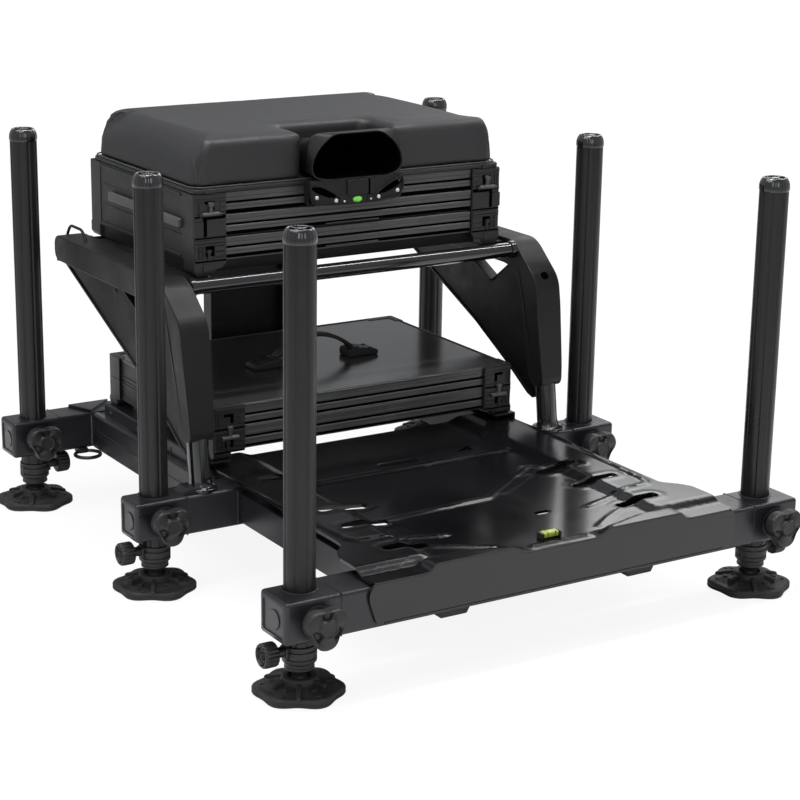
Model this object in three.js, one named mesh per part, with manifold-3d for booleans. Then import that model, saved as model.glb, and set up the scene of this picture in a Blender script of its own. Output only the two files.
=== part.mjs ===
// A match angler's seat box: a six-legged platform with a footplate in front, a low
// cassette box on it, and a seat unit with drawers carried on two side frames.
// Units are millimetres. -Y is the front, where the footplate is, and +Z is up. Left and
// right are as seen from the front, so +X is to the right. Heights are from the ground.
// Y values are measured back from the front pair of legs until the last lines, which
// put the origin on the ground under the middle of the whole object.
import * as THREE from 'three';
import { mergeVertices } from 'three/addons/utils/BufferGeometryUtils.js';
import Module from 'manifold-3d';

const wasm = await Module();
wasm.setup();

// Gaps and wall details shared by many pieces
const seatGap = 0.3;
const runGap = 0.5;
const cutOver = 4;
const weld = 0.0005;

// Platform plan
const legSpacing = 658;
const frontToMiddle = 370;
const frontToRear = 758;
const railOverhang = 38;
const railUnderside = 74;
const railHeight = 50;
const railWall = 3;
const railCorner = 3;
const railDepth = 48;
const middleLegSetback = 30;
const rearLegSetback = 22;
const frontRailDepth = 60;
const frontLegSetback = 38;
const clampBlockLength = 66;
const drainHoleRadius = 5;
const drainHoleInset = 30;

// Legs
const legDiameter = 36;
const legWall = 2.4;
const legTop = 528;
const legPlugHeight = 12;
const legPlugLip = 1.5;
const legPlugRecess = 4;
const legPlugRecessRadius = 9;

// Clamp knobs on the front faces of the rails
const clampKnobRadius = 26;
const clampKnobLobeDepth = 4.5;
const clampKnobLobes = 3;
const clampKnobThickness = 16;
const clampKnobStandoff = 10;
const clampKnobHub = 12;
const clampKnobCap = 4;
const clampKnobHeight = 98;
const clampScrewRadius = 5;

// Foot sockets: a spigot inside the leg tube, a collar below it, and the swivel ball
const legUnderside = 60;
const socketSpigotGap = 0.3;
const socketSpigotLength = 34;
const socketSpigotBore = 9;
const socketCollarRadius = 19.5;
const socketCollarBottom = 42;
const socketShoulder = 37;
const socketNeckRadius = 7.5;

// Foot knobs on the sockets
const footKnobRadius = 14.5;
const footKnobNotch = 1.6;
const footKnobNotches = 6;
const footKnobInner = 31;
const footKnobOuter = 49;
const footKnobHeight = 53;
const footKnobNeckRadius = 6;
const footScrewRadius = 3.5;
const footScrewDepth = 9;

// Mud feet
const padRadius = 54;
const padLobeDepth = 7;
const padLobes = 6;
const padEdge = 6;
const padRise = 11;
const padHubRadius = 20;
const padHubHeight = 22;
const ballRadius = 11;
const ballHeight = 15;
const ballClearance = 1;
const ballReachShare = 0.8;
const padRibWidth = 6;
const padRibReach = 42;
const padRibHeight = 18;

// Side rails with ledges for the cassette box, corner gussets and strap rings
const sideRailOuter = 250;
const sideRailWidth = 24;
const ledgeHeight = 19;
const ledgeOuter = 239;
const ledgeReach = 34;
const ledgeThickness = 3;
const ringRadius = 20;
const ringWire = 5;
const ringThickness = 6;
const ringLug = 12;
const gussetOuter = 267;
const gussetWidth = 62;
const gussetThickness = 4;

// Footplate and its runners
const runnerClearance = 2;
const runnerWidth = 24;
const runnerHeight = 40;
const runnerLift = 4;
const runnerTail = 80;
const portMargin = 0.8;
const plateThickness = 4;
const plateUnderside = 125.4;
const plateHalfWidth = 232;
const plateWingRise = 6;
const plateWingWidth = 80;
const plateWingSlope = 22;
const plateRibHeight = 4;
const plateRibWidth = 9;
const plateRibLength = 300;
const plateSlotLength = 68;
const plateSlotWidth = 12;
const plateSlotCentre = 167;
const plateSlotShares = [0.124, 0.313, 0.453];
const plateRibShares = [0.345, 0.68];
const plateFrontInset = 10;
const plateRearReach = 52;
const plateCutGap = 2;
const plateFlareHalfWidth = 256;
const plateFlareStart = 46;
const plateFlareEnd = 70;
const plateCutDepth = 24;
const plateCutLength = 40;
const plateCutCentre = 182;
const plateNickLength = 32;
const plateNickCentre = 100;
const fasciaHalfWidth = 264;
const fasciaThickness = 3.6;
const fasciaDrop = 48;
const humpCentre = 118;
const humpHalfWidth = 54;
const humpSlope = 20;
const humpRise = 9;
const bumperSpacing = 270;
const bumperLength = 52;
const bumperDepth = 26;
const bumperHeight = 16;
const bumperTaper = 8;
const bumperSetback = 20;
const vialLength = 26;
const vialWidth = 12;
const vialHeight = 9;

// Side tubes: a leaning upright, a bend, and a level top rail
const uprightSpacing = 536;
const uprightRadius = 14;
const uprightSetback = 21;
const uprightLean = 8;
const topRailHeight = 361;
const tubeBend = 60;
const topRailEnd = 9;
const baseFlangeRadius = 21;
const baseFlangeThickness = 4;

// Side brackets: the cover round the tube, the web, the ledge under the seat unit
const bracketWidth = 40;
const bracketCover = 18;
const bracketFoot = 186;
const bracketBrowDrop = 24;
const bracketBrowLength = 58;
const bracketRise = 18;
const bracketSkirt = 17;
const bracketChamfer = 4;
const bracketTubeGap = 0.5;
const bracketShoulder = 30;
const webThickness = 8;
const webTipHeight = 162;
const webTipLength = 12;
const webTipBack = 16;
const webKneeHeight = 238;
const webKneeBack = 142;
const webNotchDrop = 28;
const webNotchBack = 134;
const webNotchHalf = 56;
const bracketBoltRadius = 4;
const bracketBoltDepth = 3;
const seatLedgeReach = 40;
const seatLedgeThickness = 4;
const loopRadius = 15;
const loopWire = 3;
const loopLength = 40;

// Cross tubes and rear pillar
const crossTubeRadius = 10;
const frontCrossTubeAhead = 14;
const crossTubeLift = 6;
const rearCrossTubeBehind = 12;
const pillarWidth = 122;
const pillarDepth = 24;
const pillarAhead = 4;
const pillarWall = 3;
const pillarWindowHeight = 60;
const pillarRibThickness = 4;
const pillarWindowDrop = 75;

// Seat unit
const seatWidth = 466;
const seatDepth = 310;
const seatFront = 442;
const seatFootLift = 14;
const seatFootLength = 20;
const lowerDrawerHeight = 30;
const upperDrawerHeight = 29;
const topTrayHeight = 26;
const seatWall = 3;
const seatShelf = 2;
const cornerWidth = 46;
const cornerReturn = 34;
const cornerProud = 4;
const cornerThickness = 12;
const drawerClearance = 0.6;
const drawerWall = 2;
const drawerFrontThickness = 8;
const drawerLength = 270;
const grooveDepth = 2.5;
const grooveHeight = 3;
const groovesPerBand = 3;
const sideStripLength = 214;
const sideStripHeight = 13;
const sideStripProud = 6;
const sideStripLift = 8;
const sideStripCentre = 582;

// Seat lid and cushion
const lidThickness = 6;
const lidInset = 1.5;
const hingeRadius = 3.5;
const hingeKnuckle = 40;
const hingeSpacing = 300;
const hingeBehind = 4;
const cushionInset = 5;
const cushionHeight = 60;
const cushionCorner = 26;
const cushionRoll = 27;
const cushionCrown = 3;
const cushionDrawIn = 3;
const cushionSeam = 2;

// Pole hood at the front of the cushion
const hoodWidth = 142;
const hoodRise = 3.4;
const hoodLipGap = 1.6;
const hoodProud = 20;
const hoodLength = 104;
const hoodWall = 7;
const hoodShoulder = 30;
const hoodMouthLift = 1.4;
const hoodCutGap = 4;
const hoodVialLength = 16;
const hoodVialRadius = 4.5;
const hoodVialLift = 6;

// Catches at the front corners
const catchWidth = 24;
const catchHeight = 22;
const catchThickness = 5;
const catchStem = 8;
const catchBar = 8;
const catchPinRadius = 2;
const catchPinOver = 3;

// Cassette box on the platform
const cassetteWidth = 462;
const cassetteDepth = 318;
const cassetteFront = 398;
const cassetteFloor = 153;
const cassetteTrayHeight = 30;
const cassetteLidHeight = 30;
const cassetteWall = 3;
const cassetteFootWidth = 26;
const cassetteLidPlate = 2;

// Carry handle on the cassette lid
const handleSpan = 126;
const handleLugSpacing = 146;
const handleSetback = 150;
const handleRise = 34;
const handleWidth = 20;
const handleThickness = 4;
const handleLugLength = 50;
const handleLugHeight = 12;

// Section counts
const legSides = 16;
const tubeSides = 12;
const tubeSteps = 8;
const knobSides = 18;
const padSides = 18;
const socketSides = 12;
const ballSteps = 5;
const cushionSide = 6;
const cornerSteps = 4;
const rollSteps = 4;

// Finishes
const finish = (color, roughness, metalness = 0) =>
  new THREE.MeshStandardMaterial({ color, roughness, metalness, flatShading: true });
const anodised = finish(0x26262a, 0.42, 0.6);
const coatedFrame = finish(0x17171c, 0.38, 0.4);
const mouldedBlack = finish(0x1b1b1d, 0.6);
const rubberBlack = finish(0x121213, 0.75);
const glossPlate = finish(0x101014, 0.18, 0.2);
const grooved = finish(0x2a2a2c, 0.5, 0.5);
const leatherette = finish(0x2c2c2f, 0.55);
const satinLid = finish(0x3a3a3c, 0.3, 0.2);
const spiritGreen = finish(0x4fc23a, 0.3);
const spiritYellow = finish(0xb8c832, 0.3);

// Levels and places that follow from the sizes above
const railTop = railUnderside + railHeight;
const legX = legSpacing / 2;
const railEnd = legX + railOverhang;
const legRadius = legDiameter / 2;
const rows = [
  { row: 'front', y: 0, front: -frontLegSetback, back: frontRailDepth - frontLegSetback },
  {
    row: 'middle',
    y: frontToMiddle,
    front: frontToMiddle - middleLegSetback,
    back: frontToMiddle - middleLegSetback + railDepth,
  },
  {
    row: 'rear',
    y: frontToRear,
    front: frontToRear - rearLegSetback,
    back: frontToRear - rearLegSetback + railDepth,
  },
];
const [frontRow, middleRow, rearRow] = rows;
const uprightX = uprightSpacing / 2;
const bracketTop = topRailHeight + bracketRise;
const bracketBottom = topRailHeight - bracketSkirt;
const bracketBrow = topRailHeight - bracketBrowDrop;
const webNotchHeight = bracketBottom - webNotchDrop;
const crossTubeHeight = topRailHeight + crossTubeLift;
const pillarWindowTop = topRailHeight - pillarWindowDrop;
const seatFootHeight = topRailHeight + seatFootLift;
const lowerDrawerFloor = seatFootHeight + seatFootLength;
const seatBack = seatFront + seatDepth;
const seatHalf = seatWidth / 2;
const upperDrawerFloor = lowerDrawerFloor + lowerDrawerHeight;
const topTrayFloor = upperDrawerFloor + upperDrawerHeight;
const sideStripLevel = upperDrawerFloor + sideStripLift;
const hoodBottom = topTrayFloor - seatShelf - drawerClearance + hoodLipGap;
const seatRim = topTrayFloor + topTrayHeight;
const cushionBase = seatRim + seatGap + lidThickness + seatGap;
const hoodTop = cushionBase + cushionHeight + hoodRise;
const hoodMouthFloor = cushionBase + hoodMouthLift;
const hoodVialLevel = topTrayFloor + hoodVialLift;
const lidHingeY = seatBack + hingeBehind;
const cassetteHalf = cassetteWidth / 2;
const cassetteBack = cassetteFront + cassetteDepth;
const cassetteSplit = cassetteFloor + cassetteTrayHeight;
const cassetteTop = cassetteSplit + seatGap + cassetteLidHeight;
const sides = [
  { side: 'left', s: -1 },
  { side: 'right', s: 1 },
];

// Geometry helpers

// Turns a closed three.js geometry into a solid, with its faces pointing out.
function toSolid(geometry) {
  const bare = geometry.clone();
  bare.deleteAttribute('normal');
  bare.deleteAttribute('uv');
  const merged = mergeVertices(bare, weld);
  const points = merged.attributes.position.array;
  const triangles = [];
  let volume = 0;
  const a = new THREE.Vector3();
  const b = new THREE.Vector3();
  const c = new THREE.Vector3();
  for (let i = 0; i < merged.index.count; i += 3) {
    const [p, q, r] = [0, 1, 2].map((k) => merged.index.getX(i + k));
    if (p === q || q === r || p === r) continue;
    triangles.push([p, q, r]);
    a.fromArray(points, 3 * p);
    b.fromArray(points, 3 * q);
    c.fromArray(points, 3 * r);
    volume += a.dot(b.cross(c));
  }
  const wound = volume < 0 ? triangles.map(([p, q, r]) => [p, r, q]) : triangles;
  return new wasm.Manifold(new wasm.Mesh({
    numProp: 3,
    vertProperties: new Float32Array(points),
    triVerts: new Uint32Array(wound.flat()),
  }));
}

function toGeometry(solid) {
  const mesh = solid.getMesh();
  const geometry = new THREE.BufferGeometry();
  geometry.setAttribute('position', new THREE.BufferAttribute(new Float32Array(mesh.vertProperties), 3));
  geometry.setIndex(new THREE.BufferAttribute(new Uint32Array(mesh.triVerts), 1));
  const flat = geometry.toNonIndexed();
  flat.computeVertexNormals();
  return flat;
}

const axisX = new THREE.Vector3(1, 0, 0);
const axisY = new THREE.Vector3(0, 1, 0);
const axisZ = new THREE.Vector3(0, 0, 1);

// An outline pushed along an axis. Outline points are (y, z) for x, (z, x) for y, (x, y) for z.
function prism(axis, outline, from, to, chamfer = 0) {
  const low = Math.min(from, to);
  const length = Math.abs(to - from);
  const shape = outline instanceof THREE.Shape ? outline : new THREE.Shape(outline.map(([u, v]) => new THREE.Vector2(u, v)));
  const geometry = new THREE.ExtrudeGeometry(shape, {
    depth: length - 2 * chamfer,
    bevelEnabled: chamfer > 0,
    bevelThickness: chamfer,
    bevelSize: chamfer,
    bevelOffset: -chamfer,
    bevelSegments: 1,
    curveSegments: cornerSteps,
  });
  geometry.translate(0, 0, low + chamfer);
  const basis = new THREE.Matrix4();
  if (axis === 'x') basis.makeBasis(axisY, axisZ, axisX);
  if (axis === 'y') basis.makeBasis(axisZ, axisX, axisY);
  return toSolid(geometry.applyMatrix4(basis));
}

function rectangle(u0, u1, v0, v1) {
  return [[u0, v0], [u1, v0], [u1, v1], [u0, v1]];
}

function block(x0, x1, y0, y1, z0, z1, chamfer = 0) {
  const [left, right] = [Math.min(x0, x1), Math.max(x0, x1)];
  return prism('z', rectangle(left, right, y0, y1), z0, z1, chamfer);
}

// A regular ring of points with flats facing along the axes.
function ring(radius, count, u = 0, v = 0) {
  return Array.from({ length: count }, (_, i) => {
    const turn = (2 * Math.PI * (i + 0.5)) / count;
    return [u + radius * Math.cos(turn), v + radius * Math.sin(turn)];
  });
}

function rod(axis, radius, count, u, v, from, to) {
  return prism(axis, ring(radius, count, u, v), from, to);
}

// A profile of [radius, height] turned round a vertical axis.
function turned(profile, count, x, y) {
  const geometry = new THREE.LatheGeometry(profile.map(([r, h]) => new THREE.Vector2(r, h)), count);
  geometry.rotateX(Math.PI / 2);
  geometry.rotateZ(Math.PI / count);
  geometry.translate(x, y, 0);
  return toSolid(geometry);
}

// Closed skin over rings of equal length; the first and last ring close to their middle.
function skin(rings) {
  const count = rings[0].length;
  const middle = (points) => points
    .reduce((sum, p) => sum.add(new THREE.Vector3(...p)), new THREE.Vector3())
    .divideScalar(points.length)
    .toArray();
  const points = [...rings.flat(), middle(rings[0]), middle(rings[rings.length - 1])];
  const first = rings.length * count;
  const index = [];
  for (let i = 0; i < count; i += 1) {
    const j = (i + 1) % count;
    index.push(first, j, i, first + 1, first - count + i, first - count + j);
    for (let k = 0; k + 1 < rings.length; k += 1) {
      const [p, q] = [k * count + i, k * count + j];
      index.push(p, q, q + count, p, q + count, p + count);
    }
  }
  const geometry = new THREE.BufferGeometry();
  geometry.setAttribute('position', new THREE.Float32BufferAttribute(points.flat(), 3));
  geometry.setIndex(index);
  return toSolid(geometry);
}

// A round tube through stations that each hold a middle and a heading, bent in the YZ plane.
function bentTube(x, stations, radius, count) {
  return skin(stations.map(({ y, z, heading }) => ring(radius, count).map(([across, out]) => [
    x + across,
    y + out * Math.cos(heading),
    z - out * Math.sin(heading),
  ])));
}

const group = new THREE.Group();

function piece(name, solid, material) {
  const mesh = new THREE.Mesh(toGeometry(solid), material);
  mesh.name = name;
  group.add(mesh);
}

// Legs, knobs and feet

function legTube(x, y) {
  const inner = legRadius - legWall;
  const shoulder = legTop - legPlugHeight;
  const outer = turned([
    [0, legUnderside],
    [legRadius, legUnderside],
    [legRadius, shoulder],
    [legRadius - legPlugLip, shoulder + legPlugLip],
    [legRadius - 2 * legPlugLip, legTop - legPlugLip],
    [legPlugRecessRadius + legPlugLip, legTop],
    [legPlugRecessRadius, legTop - legPlugRecess],
    [0, legTop - legPlugRecess],
  ], legSides, x, y);
  return outer.subtract(rod('z', inner, legSides, x, y, legUnderside - cutOver, shoulder));
}

// A lobed grip with its screw, built pointing forward from a rail's front face.
function clampKnob(x, y, face) {
  const lobed = Array.from({ length: knobSides }, (_, i) => {
    const turn = (2 * Math.PI * i) / knobSides;
    const reach = clampKnobRadius - clampKnobLobeDepth * (0.5 + 0.5 * Math.cos(clampKnobLobes * turn));
    return [clampKnobHeight + reach * Math.cos(turn), x + reach * Math.sin(turn)];
  });
  const back = face - clampKnobStandoff;
  const front = back - clampKnobThickness;
  return prism('y', lobed, back, front, clampKnobCap / 2)
    .add(rod('y', clampKnobHub, tubeSides, clampKnobHeight, x, face - seatGap, back - cutOver))
    .add(rod('y', clampKnobHub, tubeSides, clampKnobHeight, x, front + cutOver, front - clampKnobCap))
    .add(rod('y', clampScrewRadius, tubeSides, clampKnobHeight, x, y - legRadius - seatGap, back - cutOver));
}

// The profile of the swivel ball, or of the cup round it, from its lowest point upwards.
function ballProfile(radius) {
  return Array.from({ length: ballSteps + 1 }, (_, i) => {
    const tilt = Math.PI * ((ballReachShare * i) / ballSteps - 0.5);
    return [i ? radius * Math.cos(tilt) : 0, ballHeight + radius * Math.sin(tilt)];
  });
}

function footSocket(x, y, turn) {
  const spigot = legRadius - legWall - socketSpigotGap;
  const collarTop = legUnderside - seatGap;
  const spigotTop = legUnderside + socketSpigotLength;
  const body = turned([
    ...ballProfile(ballRadius).filter(([, height]) => height < padHubHeight),
    [socketNeckRadius, padHubHeight + ballClearance],
    [socketNeckRadius, socketShoulder],
    [legRadius - legWall, socketShoulder],
    [socketCollarRadius, socketCollarBottom],
    [socketCollarRadius, collarTop],
    [0, collarTop],
  ], socketSides, x, y);
  const hole = rod('x', footScrewRadius + runGap, tubeSides, y, footKnobHeight,
    x + turn * (socketCollarRadius - footScrewDepth), x + turn * (socketCollarRadius + cutOver));
  return body
    .add(rod('z', spigot, legSides, x, y, collarTop - cutOver, spigotTop))
    .subtract(rod('z', socketSpigotBore, tubeSides, x, y, legUnderside + cutOver, spigotTop + cutOver))
    .subtract(hole);
}

function footKnob(x, y, turn) {
  const grip = Array.from({ length: 2 * footKnobNotches }, (_, i) => {
    const angle = (Math.PI * (i + 0.5)) / footKnobNotches;
    const reach = footKnobRadius - (i % 2 ? footKnobNotch : 0);
    return [y + reach * Math.cos(angle), footKnobHeight + reach * Math.sin(angle)];
  });
  const place = (reach) => x + turn * reach;
  return prism('x', grip, place(footKnobInner), place(footKnobOuter), footKnobNotch)
    .add(rod('x', footKnobNeckRadius, tubeSides, y, footKnobHeight,
      place(socketCollarRadius + seatGap), place(footKnobInner + cutOver)))
    .add(rod('x', footScrewRadius, tubeSides, y, footKnobHeight,
      place(socketCollarRadius - footScrewDepth + runGap), place(footKnobInner + cutOver)));
}

function mudFoot(x, y) {
  const outline = (share, height) => Array.from({ length: padSides }, (_, i) => {
    const turn = (2 * Math.PI * i) / padSides;
    const edge = padRadius - padLobeDepth * (0.5 - 0.5 * Math.cos(padLobes * turn));
    const reach = padHubRadius + (edge - padHubRadius) * share;
    const heading = turn + Math.PI / padLobes;
    return [x + reach * Math.cos(heading), y + reach * Math.sin(heading), height];
  });
  let foot = skin([
    outline(1, 0),
    outline(1, padEdge),
    outline(0.5, padRise),
    outline(0, padRise + padEdge / 2),
    outline(0, padHubHeight),
  ]);
  for (let i = 0; i < padLobes; i += 1) {
    const rib = prism('y', [
      [padEdge / 2, ballRadius + padEdge],
      [padEdge / 2, padRibReach],
      [padEdge + padRibWidth / 2, padRibReach],
      [padRibHeight, padHubRadius + padRibWidth / 2],
      [padRibHeight, ballRadius + padEdge],
    ], -padRibWidth / 2, padRibWidth / 2);
    foot = foot.add(rib.rotate([0, 0, (i * 360) / padLobes]).translate([x, y, 0]));
  }
  const cup = ballProfile(ballRadius + ballClearance).filter(([, height]) => height < padHubHeight);
  const [mouthRadius] = cup[cup.length - 1];
  return foot.subtract(turned([
    ...cup,
    [mouthRadius, padHubHeight + cutOver],
    [0, padHubHeight + cutOver],
  ], socketSides, x, y));
}

for (const { row, y, front } of rows) {
  for (const { side, s } of sides) {
    const x = s * legX;
    const turn = row === 'rear' ? -s : s;
    const tag = `${row}_${side}`;
    piece(`leg_${tag}`, legTube(x, y), anodised);
    piece(`clamp_knob_${tag}`, clampKnob(x, y, front), mouldedBlack);
    piece(`foot_socket_${tag}`, footSocket(x, y, turn), mouldedBlack);
    piece(`foot_knob_${tag}`, footKnob(x, y, turn), mouldedBlack);
    piece(`foot_pad_${tag}`, mudFoot(x, y), rubberBlack);
  }
}

// Rails

// A hollow cross rail with a solid clamp block, a leg bore and a screw hole at each end.
function crossRail({ y, front, back }) {
  const blockInner = railEnd - clampBlockLength;
  let rail = prism('x', rectangle(front, back, railUnderside, railTop), -railEnd, railEnd, railCorner)
    .subtract(prism('x', rectangle(
      front + railWall,
      back - railWall,
      railUnderside + railWall,
      railTop - railWall,
    ), -blockInner, blockInner));
  for (const { s } of sides) {
    const x = s * legX;
    rail = rail
      .subtract(rod('z', legRadius + runGap, legSides, x, y, railUnderside - cutOver, railTop + cutOver))
      .subtract(rod('y', clampScrewRadius + runGap, tubeSides, clampKnobHeight, x, front - cutOver, y))
      .subtract(rod('z', drainHoleRadius, tubeSides, s * (blockInner - drainHoleInset), (front + back) / 2,
        railUnderside - cutOver, railUnderside + railWall + cutOver));
  }
  return rail;
}

function frontRail() {
  let rail = crossRail(frontRow);
  for (const { s } of sides) {
    const centre = (s * bumperSpacing) / 2;
    const half = bumperLength / 2;
    const start = frontRow.front + bumperSetback;
    rail = rail.add(prism('y', [
      [railUnderside + seatGap, centre - half],
      [railUnderside + seatGap, centre + half],
      [railUnderside - bumperHeight, centre + half - bumperTaper],
      [railUnderside - bumperHeight, centre - half + bumperTaper],
    ], start, start + bumperDepth));
  }
  return rail;
}

const sideRailInner = sideRailOuter - sideRailWidth;
const runnerOuter = sideRailInner - runnerClearance;
const runnerBottom = railUnderside + runnerLift;

// The middle rail has a port through both walls for each footplate runner.
function middleRail() {
  let rail = crossRail(middleRow);
  for (const { s } of sides) {
    rail = rail.subtract(block(
      s * (runnerOuter + portMargin),
      s * (runnerOuter - runnerWidth - portMargin),
      middleRow.front - cutOver,
      middleRow.back + cutOver,
      runnerBottom - portMargin,
      runnerBottom + runnerHeight + portMargin,
    ));
  }
  return rail;
}

// The rear rail carries a gusset on each rear corner and a strap ring in each corner below.
function rearRail() {
  let rail = crossRail(rearRow);
  for (const { s } of sides) {
    const outer = s * gussetOuter;
    rail = rail.add(prism('z', [
      [outer, rearRow.back - railCorner],
      [s * sideRailOuter, rearRow.front + railCorner],
      [outer - s * gussetWidth, rearRow.back - railCorner],
    ], railTop - gussetThickness / 2, railTop + gussetThickness));
    const ringX = s * (sideRailOuter + ringRadius - ringWire);
    const ringY = rearRow.front - ringRadius + ringWire / 2;
    const ringTop = railUnderside - seatGap;
    rail = rail
      .add(rod('z', ringRadius, socketSides, ringX, ringY, ringTop - ringThickness, ringTop)
        .subtract(rod('z', ringRadius - ringWire, socketSides, ringX, ringY,
          ringTop - ringThickness - cutOver, ringTop + cutOver)))
      .add(block(ringX - ringLug / 2, ringX + ringLug / 2, rearRow.front + seatGap,
        rearRow.front + ringLug, ringTop - ringThickness, railUnderside + railWall / 2))
      .add(block(ringX - ringLug / 2, ringX + ringLug / 2, ringY + ringRadius - ringWire / 2,
        rearRow.front + ringLug, ringTop - ringThickness, ringTop));
  }
  return rail;
}

// A side rail with its ledge; s is the side.
function sideRail(s) {
  const inner = s * sideRailInner;
  const outer = s * sideRailOuter;
  const front = middleRow.back + seatGap;
  const back = rearRow.front - seatGap;
  const hollow = block(
    inner + s * railWall,
    outer - s * railWall,
    front - cutOver,
    back + cutOver,
    railUnderside + railWall,
    railTop - railWall,
  );
  const shelf = railTop + ledgeHeight;
  const leg = s * ledgeOuter;
  const ledge = prism('y', [
    [railTop - railWall / 2, leg],
    [shelf, leg],
    [shelf, leg - s * ledgeReach],
    [shelf - ledgeThickness, leg - s * ledgeReach],
    [shelf - ledgeThickness, leg - s * ledgeThickness],
    [railTop - railWall / 2, leg - s * ledgeThickness],
  ], cassetteFront, cassetteBack);
  return block(inner, outer, front, back, railUnderside, railTop, railCorner)
    .subtract(hollow)
    .add(ledge);
}

piece('rear_rail', rearRail(), coatedFrame);
piece('middle_rail', middleRail(), coatedFrame);
piece('front_rail', frontRail(), coatedFrame);
for (const { side, s } of sides) piece(`side_rail_${side}`, sideRail(s), coatedFrame);

// Footplate

// A box-section runner, fixed behind the front rail and sliding through the middle rail.
function runner(s) {
  const outer = s * runnerOuter;
  const inner = outer - s * runnerWidth;
  const start = frontRow.back + seatGap;
  const end = middleRow.back + runnerTail;
  return block(inner, outer, start, end, runnerBottom, runnerBottom + runnerHeight)
    .subtract(block(
      inner + s * railWall,
      outer - s * railWall,
      start + railWall,
      end + cutOver,
      runnerBottom + railWall,
      runnerBottom + runnerHeight - railWall,
    ));
}

const plateFront = frontRow.front + plateFrontInset;
const plateBack = middleRow.back + plateRearReach;
const plateTop = plateUnderside + plateThickness;
const wingUnderside = plateUnderside + plateWingRise;
const wingTop = plateTop + plateWingRise;

// The pressed plate, seen along Y: level in the middle, with a raised wing at each side.
function plateSection(half) {
  const inner = plateHalfWidth - plateWingWidth;
  const wing = inner + plateWingSlope;
  const under = [
    [wingUnderside, -half],
    [wingUnderside, -wing],
    [plateUnderside, -inner],
    [plateUnderside, inner],
    [wingUnderside, wing],
    [wingUnderside, half],
  ];
  const over = [...under].reverse().map(([z, x]) => [z + plateThickness, x]);
  return [...under, ...over];
}

function footplate() {
  const span = plateBack - plateFront;
  const outline = prism('z', [
    [-plateFlareHalfWidth, plateFront],
    [plateFlareHalfWidth, plateFront],
    [plateFlareHalfWidth, plateFlareStart],
    [plateHalfWidth, plateFlareEnd],
    [plateHalfWidth, plateBack],
    [-plateHalfWidth, plateBack],
    [-plateHalfWidth, plateFlareEnd],
    [-plateFlareHalfWidth, plateFlareStart],
  ], plateUnderside - cutOver, wingTop + cutOver);
  let plate = prism('y', plateSection(plateFlareHalfWidth), plateFront, plateBack).intersect(outline);
  plateRibShares.forEach((share, k) => {
    const y = plateFront + span * share;
    const half = (plateRibLength / 2) * (1 - k / 2);
    plate = plate.add(prism('x', [
      [y, plateTop - plateRibHeight / 2],
      [y + plateRibWidth, plateTop - plateRibHeight / 2],
      [y + plateRibWidth * 0.7, plateTop + plateRibHeight],
      [y + plateRibWidth * 0.3, plateTop + plateRibHeight],
    ], -half, half));
  });
  const through = [plateUnderside - cutOver, wingTop + cutOver];
  for (const { s } of sides) {
    for (const share of plateSlotShares) {
      const y = plateFront + span * share;
      const middle = s * plateSlotCentre;
      plate = plate.subtract(block(middle - plateSlotLength / 2, middle + plateSlotLength / 2,
        y, y + plateSlotWidth, ...through));
    }
  }
  // two openings just ahead of the middle rail, one long and one three-cornered
  const cutBack = middleRow.front - plateCutGap;
  plate = plate
    .subtract(prism('z', [
      [-plateCutCentre - plateCutLength / 2, cutBack - plateCutDepth * 0.6],
      [-plateCutCentre + plateCutLength / 4, cutBack - plateCutDepth],
      [-plateCutCentre + plateCutLength / 2, cutBack],
      [-plateCutCentre - plateCutLength / 2, cutBack],
    ], ...through))
    .subtract(prism('z', [
      [plateNickCentre - plateNickLength / 2, cutBack - plateCutDepth * 0.7],
      [plateNickCentre + plateNickLength / 3, cutBack - plateCutDepth],
      [plateNickCentre + plateNickLength / 2, cutBack],
    ], ...through));
  // the front flange with its two humps
  const lip = plateUnderside - railTop;
  const profile = [[railTop + lip - fasciaDrop, -fasciaHalfWidth], [plateTop - lip, -fasciaHalfWidth]];
  for (const { s } of sides) {
    const middle = s * humpCentre;
    if (s < 0) profile.push([wingTop, -fasciaHalfWidth + humpSlope / 2]);
    profile.push(
      [s < 0 ? wingTop : plateTop, middle - humpHalfWidth - humpSlope],
      [plateTop + humpRise, middle - humpHalfWidth],
      [plateTop + humpRise, middle + humpHalfWidth],
      [s < 0 ? plateTop : wingTop, middle + humpHalfWidth + humpSlope],
    );
    if (s > 0) profile.push([wingTop, fasciaHalfWidth - humpSlope / 2]);
  }
  profile.push([plateTop - lip, fasciaHalfWidth], [railTop + lip - fasciaDrop, fasciaHalfWidth]);
  const face = frontRow.front - seatGap;
  let joined = plate.add(prism('y', profile, face - fasciaThickness, face));
  // shelves that join the flange to the plate over the rail
  const inner = plateHalfWidth - plateWingWidth;
  const reach = plateFront + fasciaThickness;
  joined = joined.add(block(-inner, inner, face - fasciaThickness / 2, reach, plateUnderside, plateTop));
  for (const { s } of sides) {
    joined = joined
      .add(block(s * (inner + plateWingSlope), s * plateFlareHalfWidth, face - fasciaThickness / 2, reach,
        wingUnderside, wingTop))
      .add(prism('x', [
        [face - fasciaThickness / 2, plateTop - lip],
        [face - fasciaThickness / 2, plateTop + humpRise],
        [face + humpSlope / 2, plateTop + humpRise],
        [face + humpSlope, plateTop - lip],
      ], s * (humpCentre - humpHalfWidth), s * (humpCentre + humpHalfWidth)));
  }
  return joined;
}

function vial() {
  const half = vialLength / 2;
  const top = plateTop + seatGap;
  const y = frontRow.front + frontLegSetback / 2;
  return block(-half, half, y, y + vialWidth, top, top + vialHeight, vialHeight / 4);
}

for (const { side, s } of sides) piece(`footplate_runner_${side}`, runner(s), coatedFrame);
piece('footplate', footplate(), glossPlate);
piece('footplate_vial', vial(), spiritYellow);

// Side tubes and brackets

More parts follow.
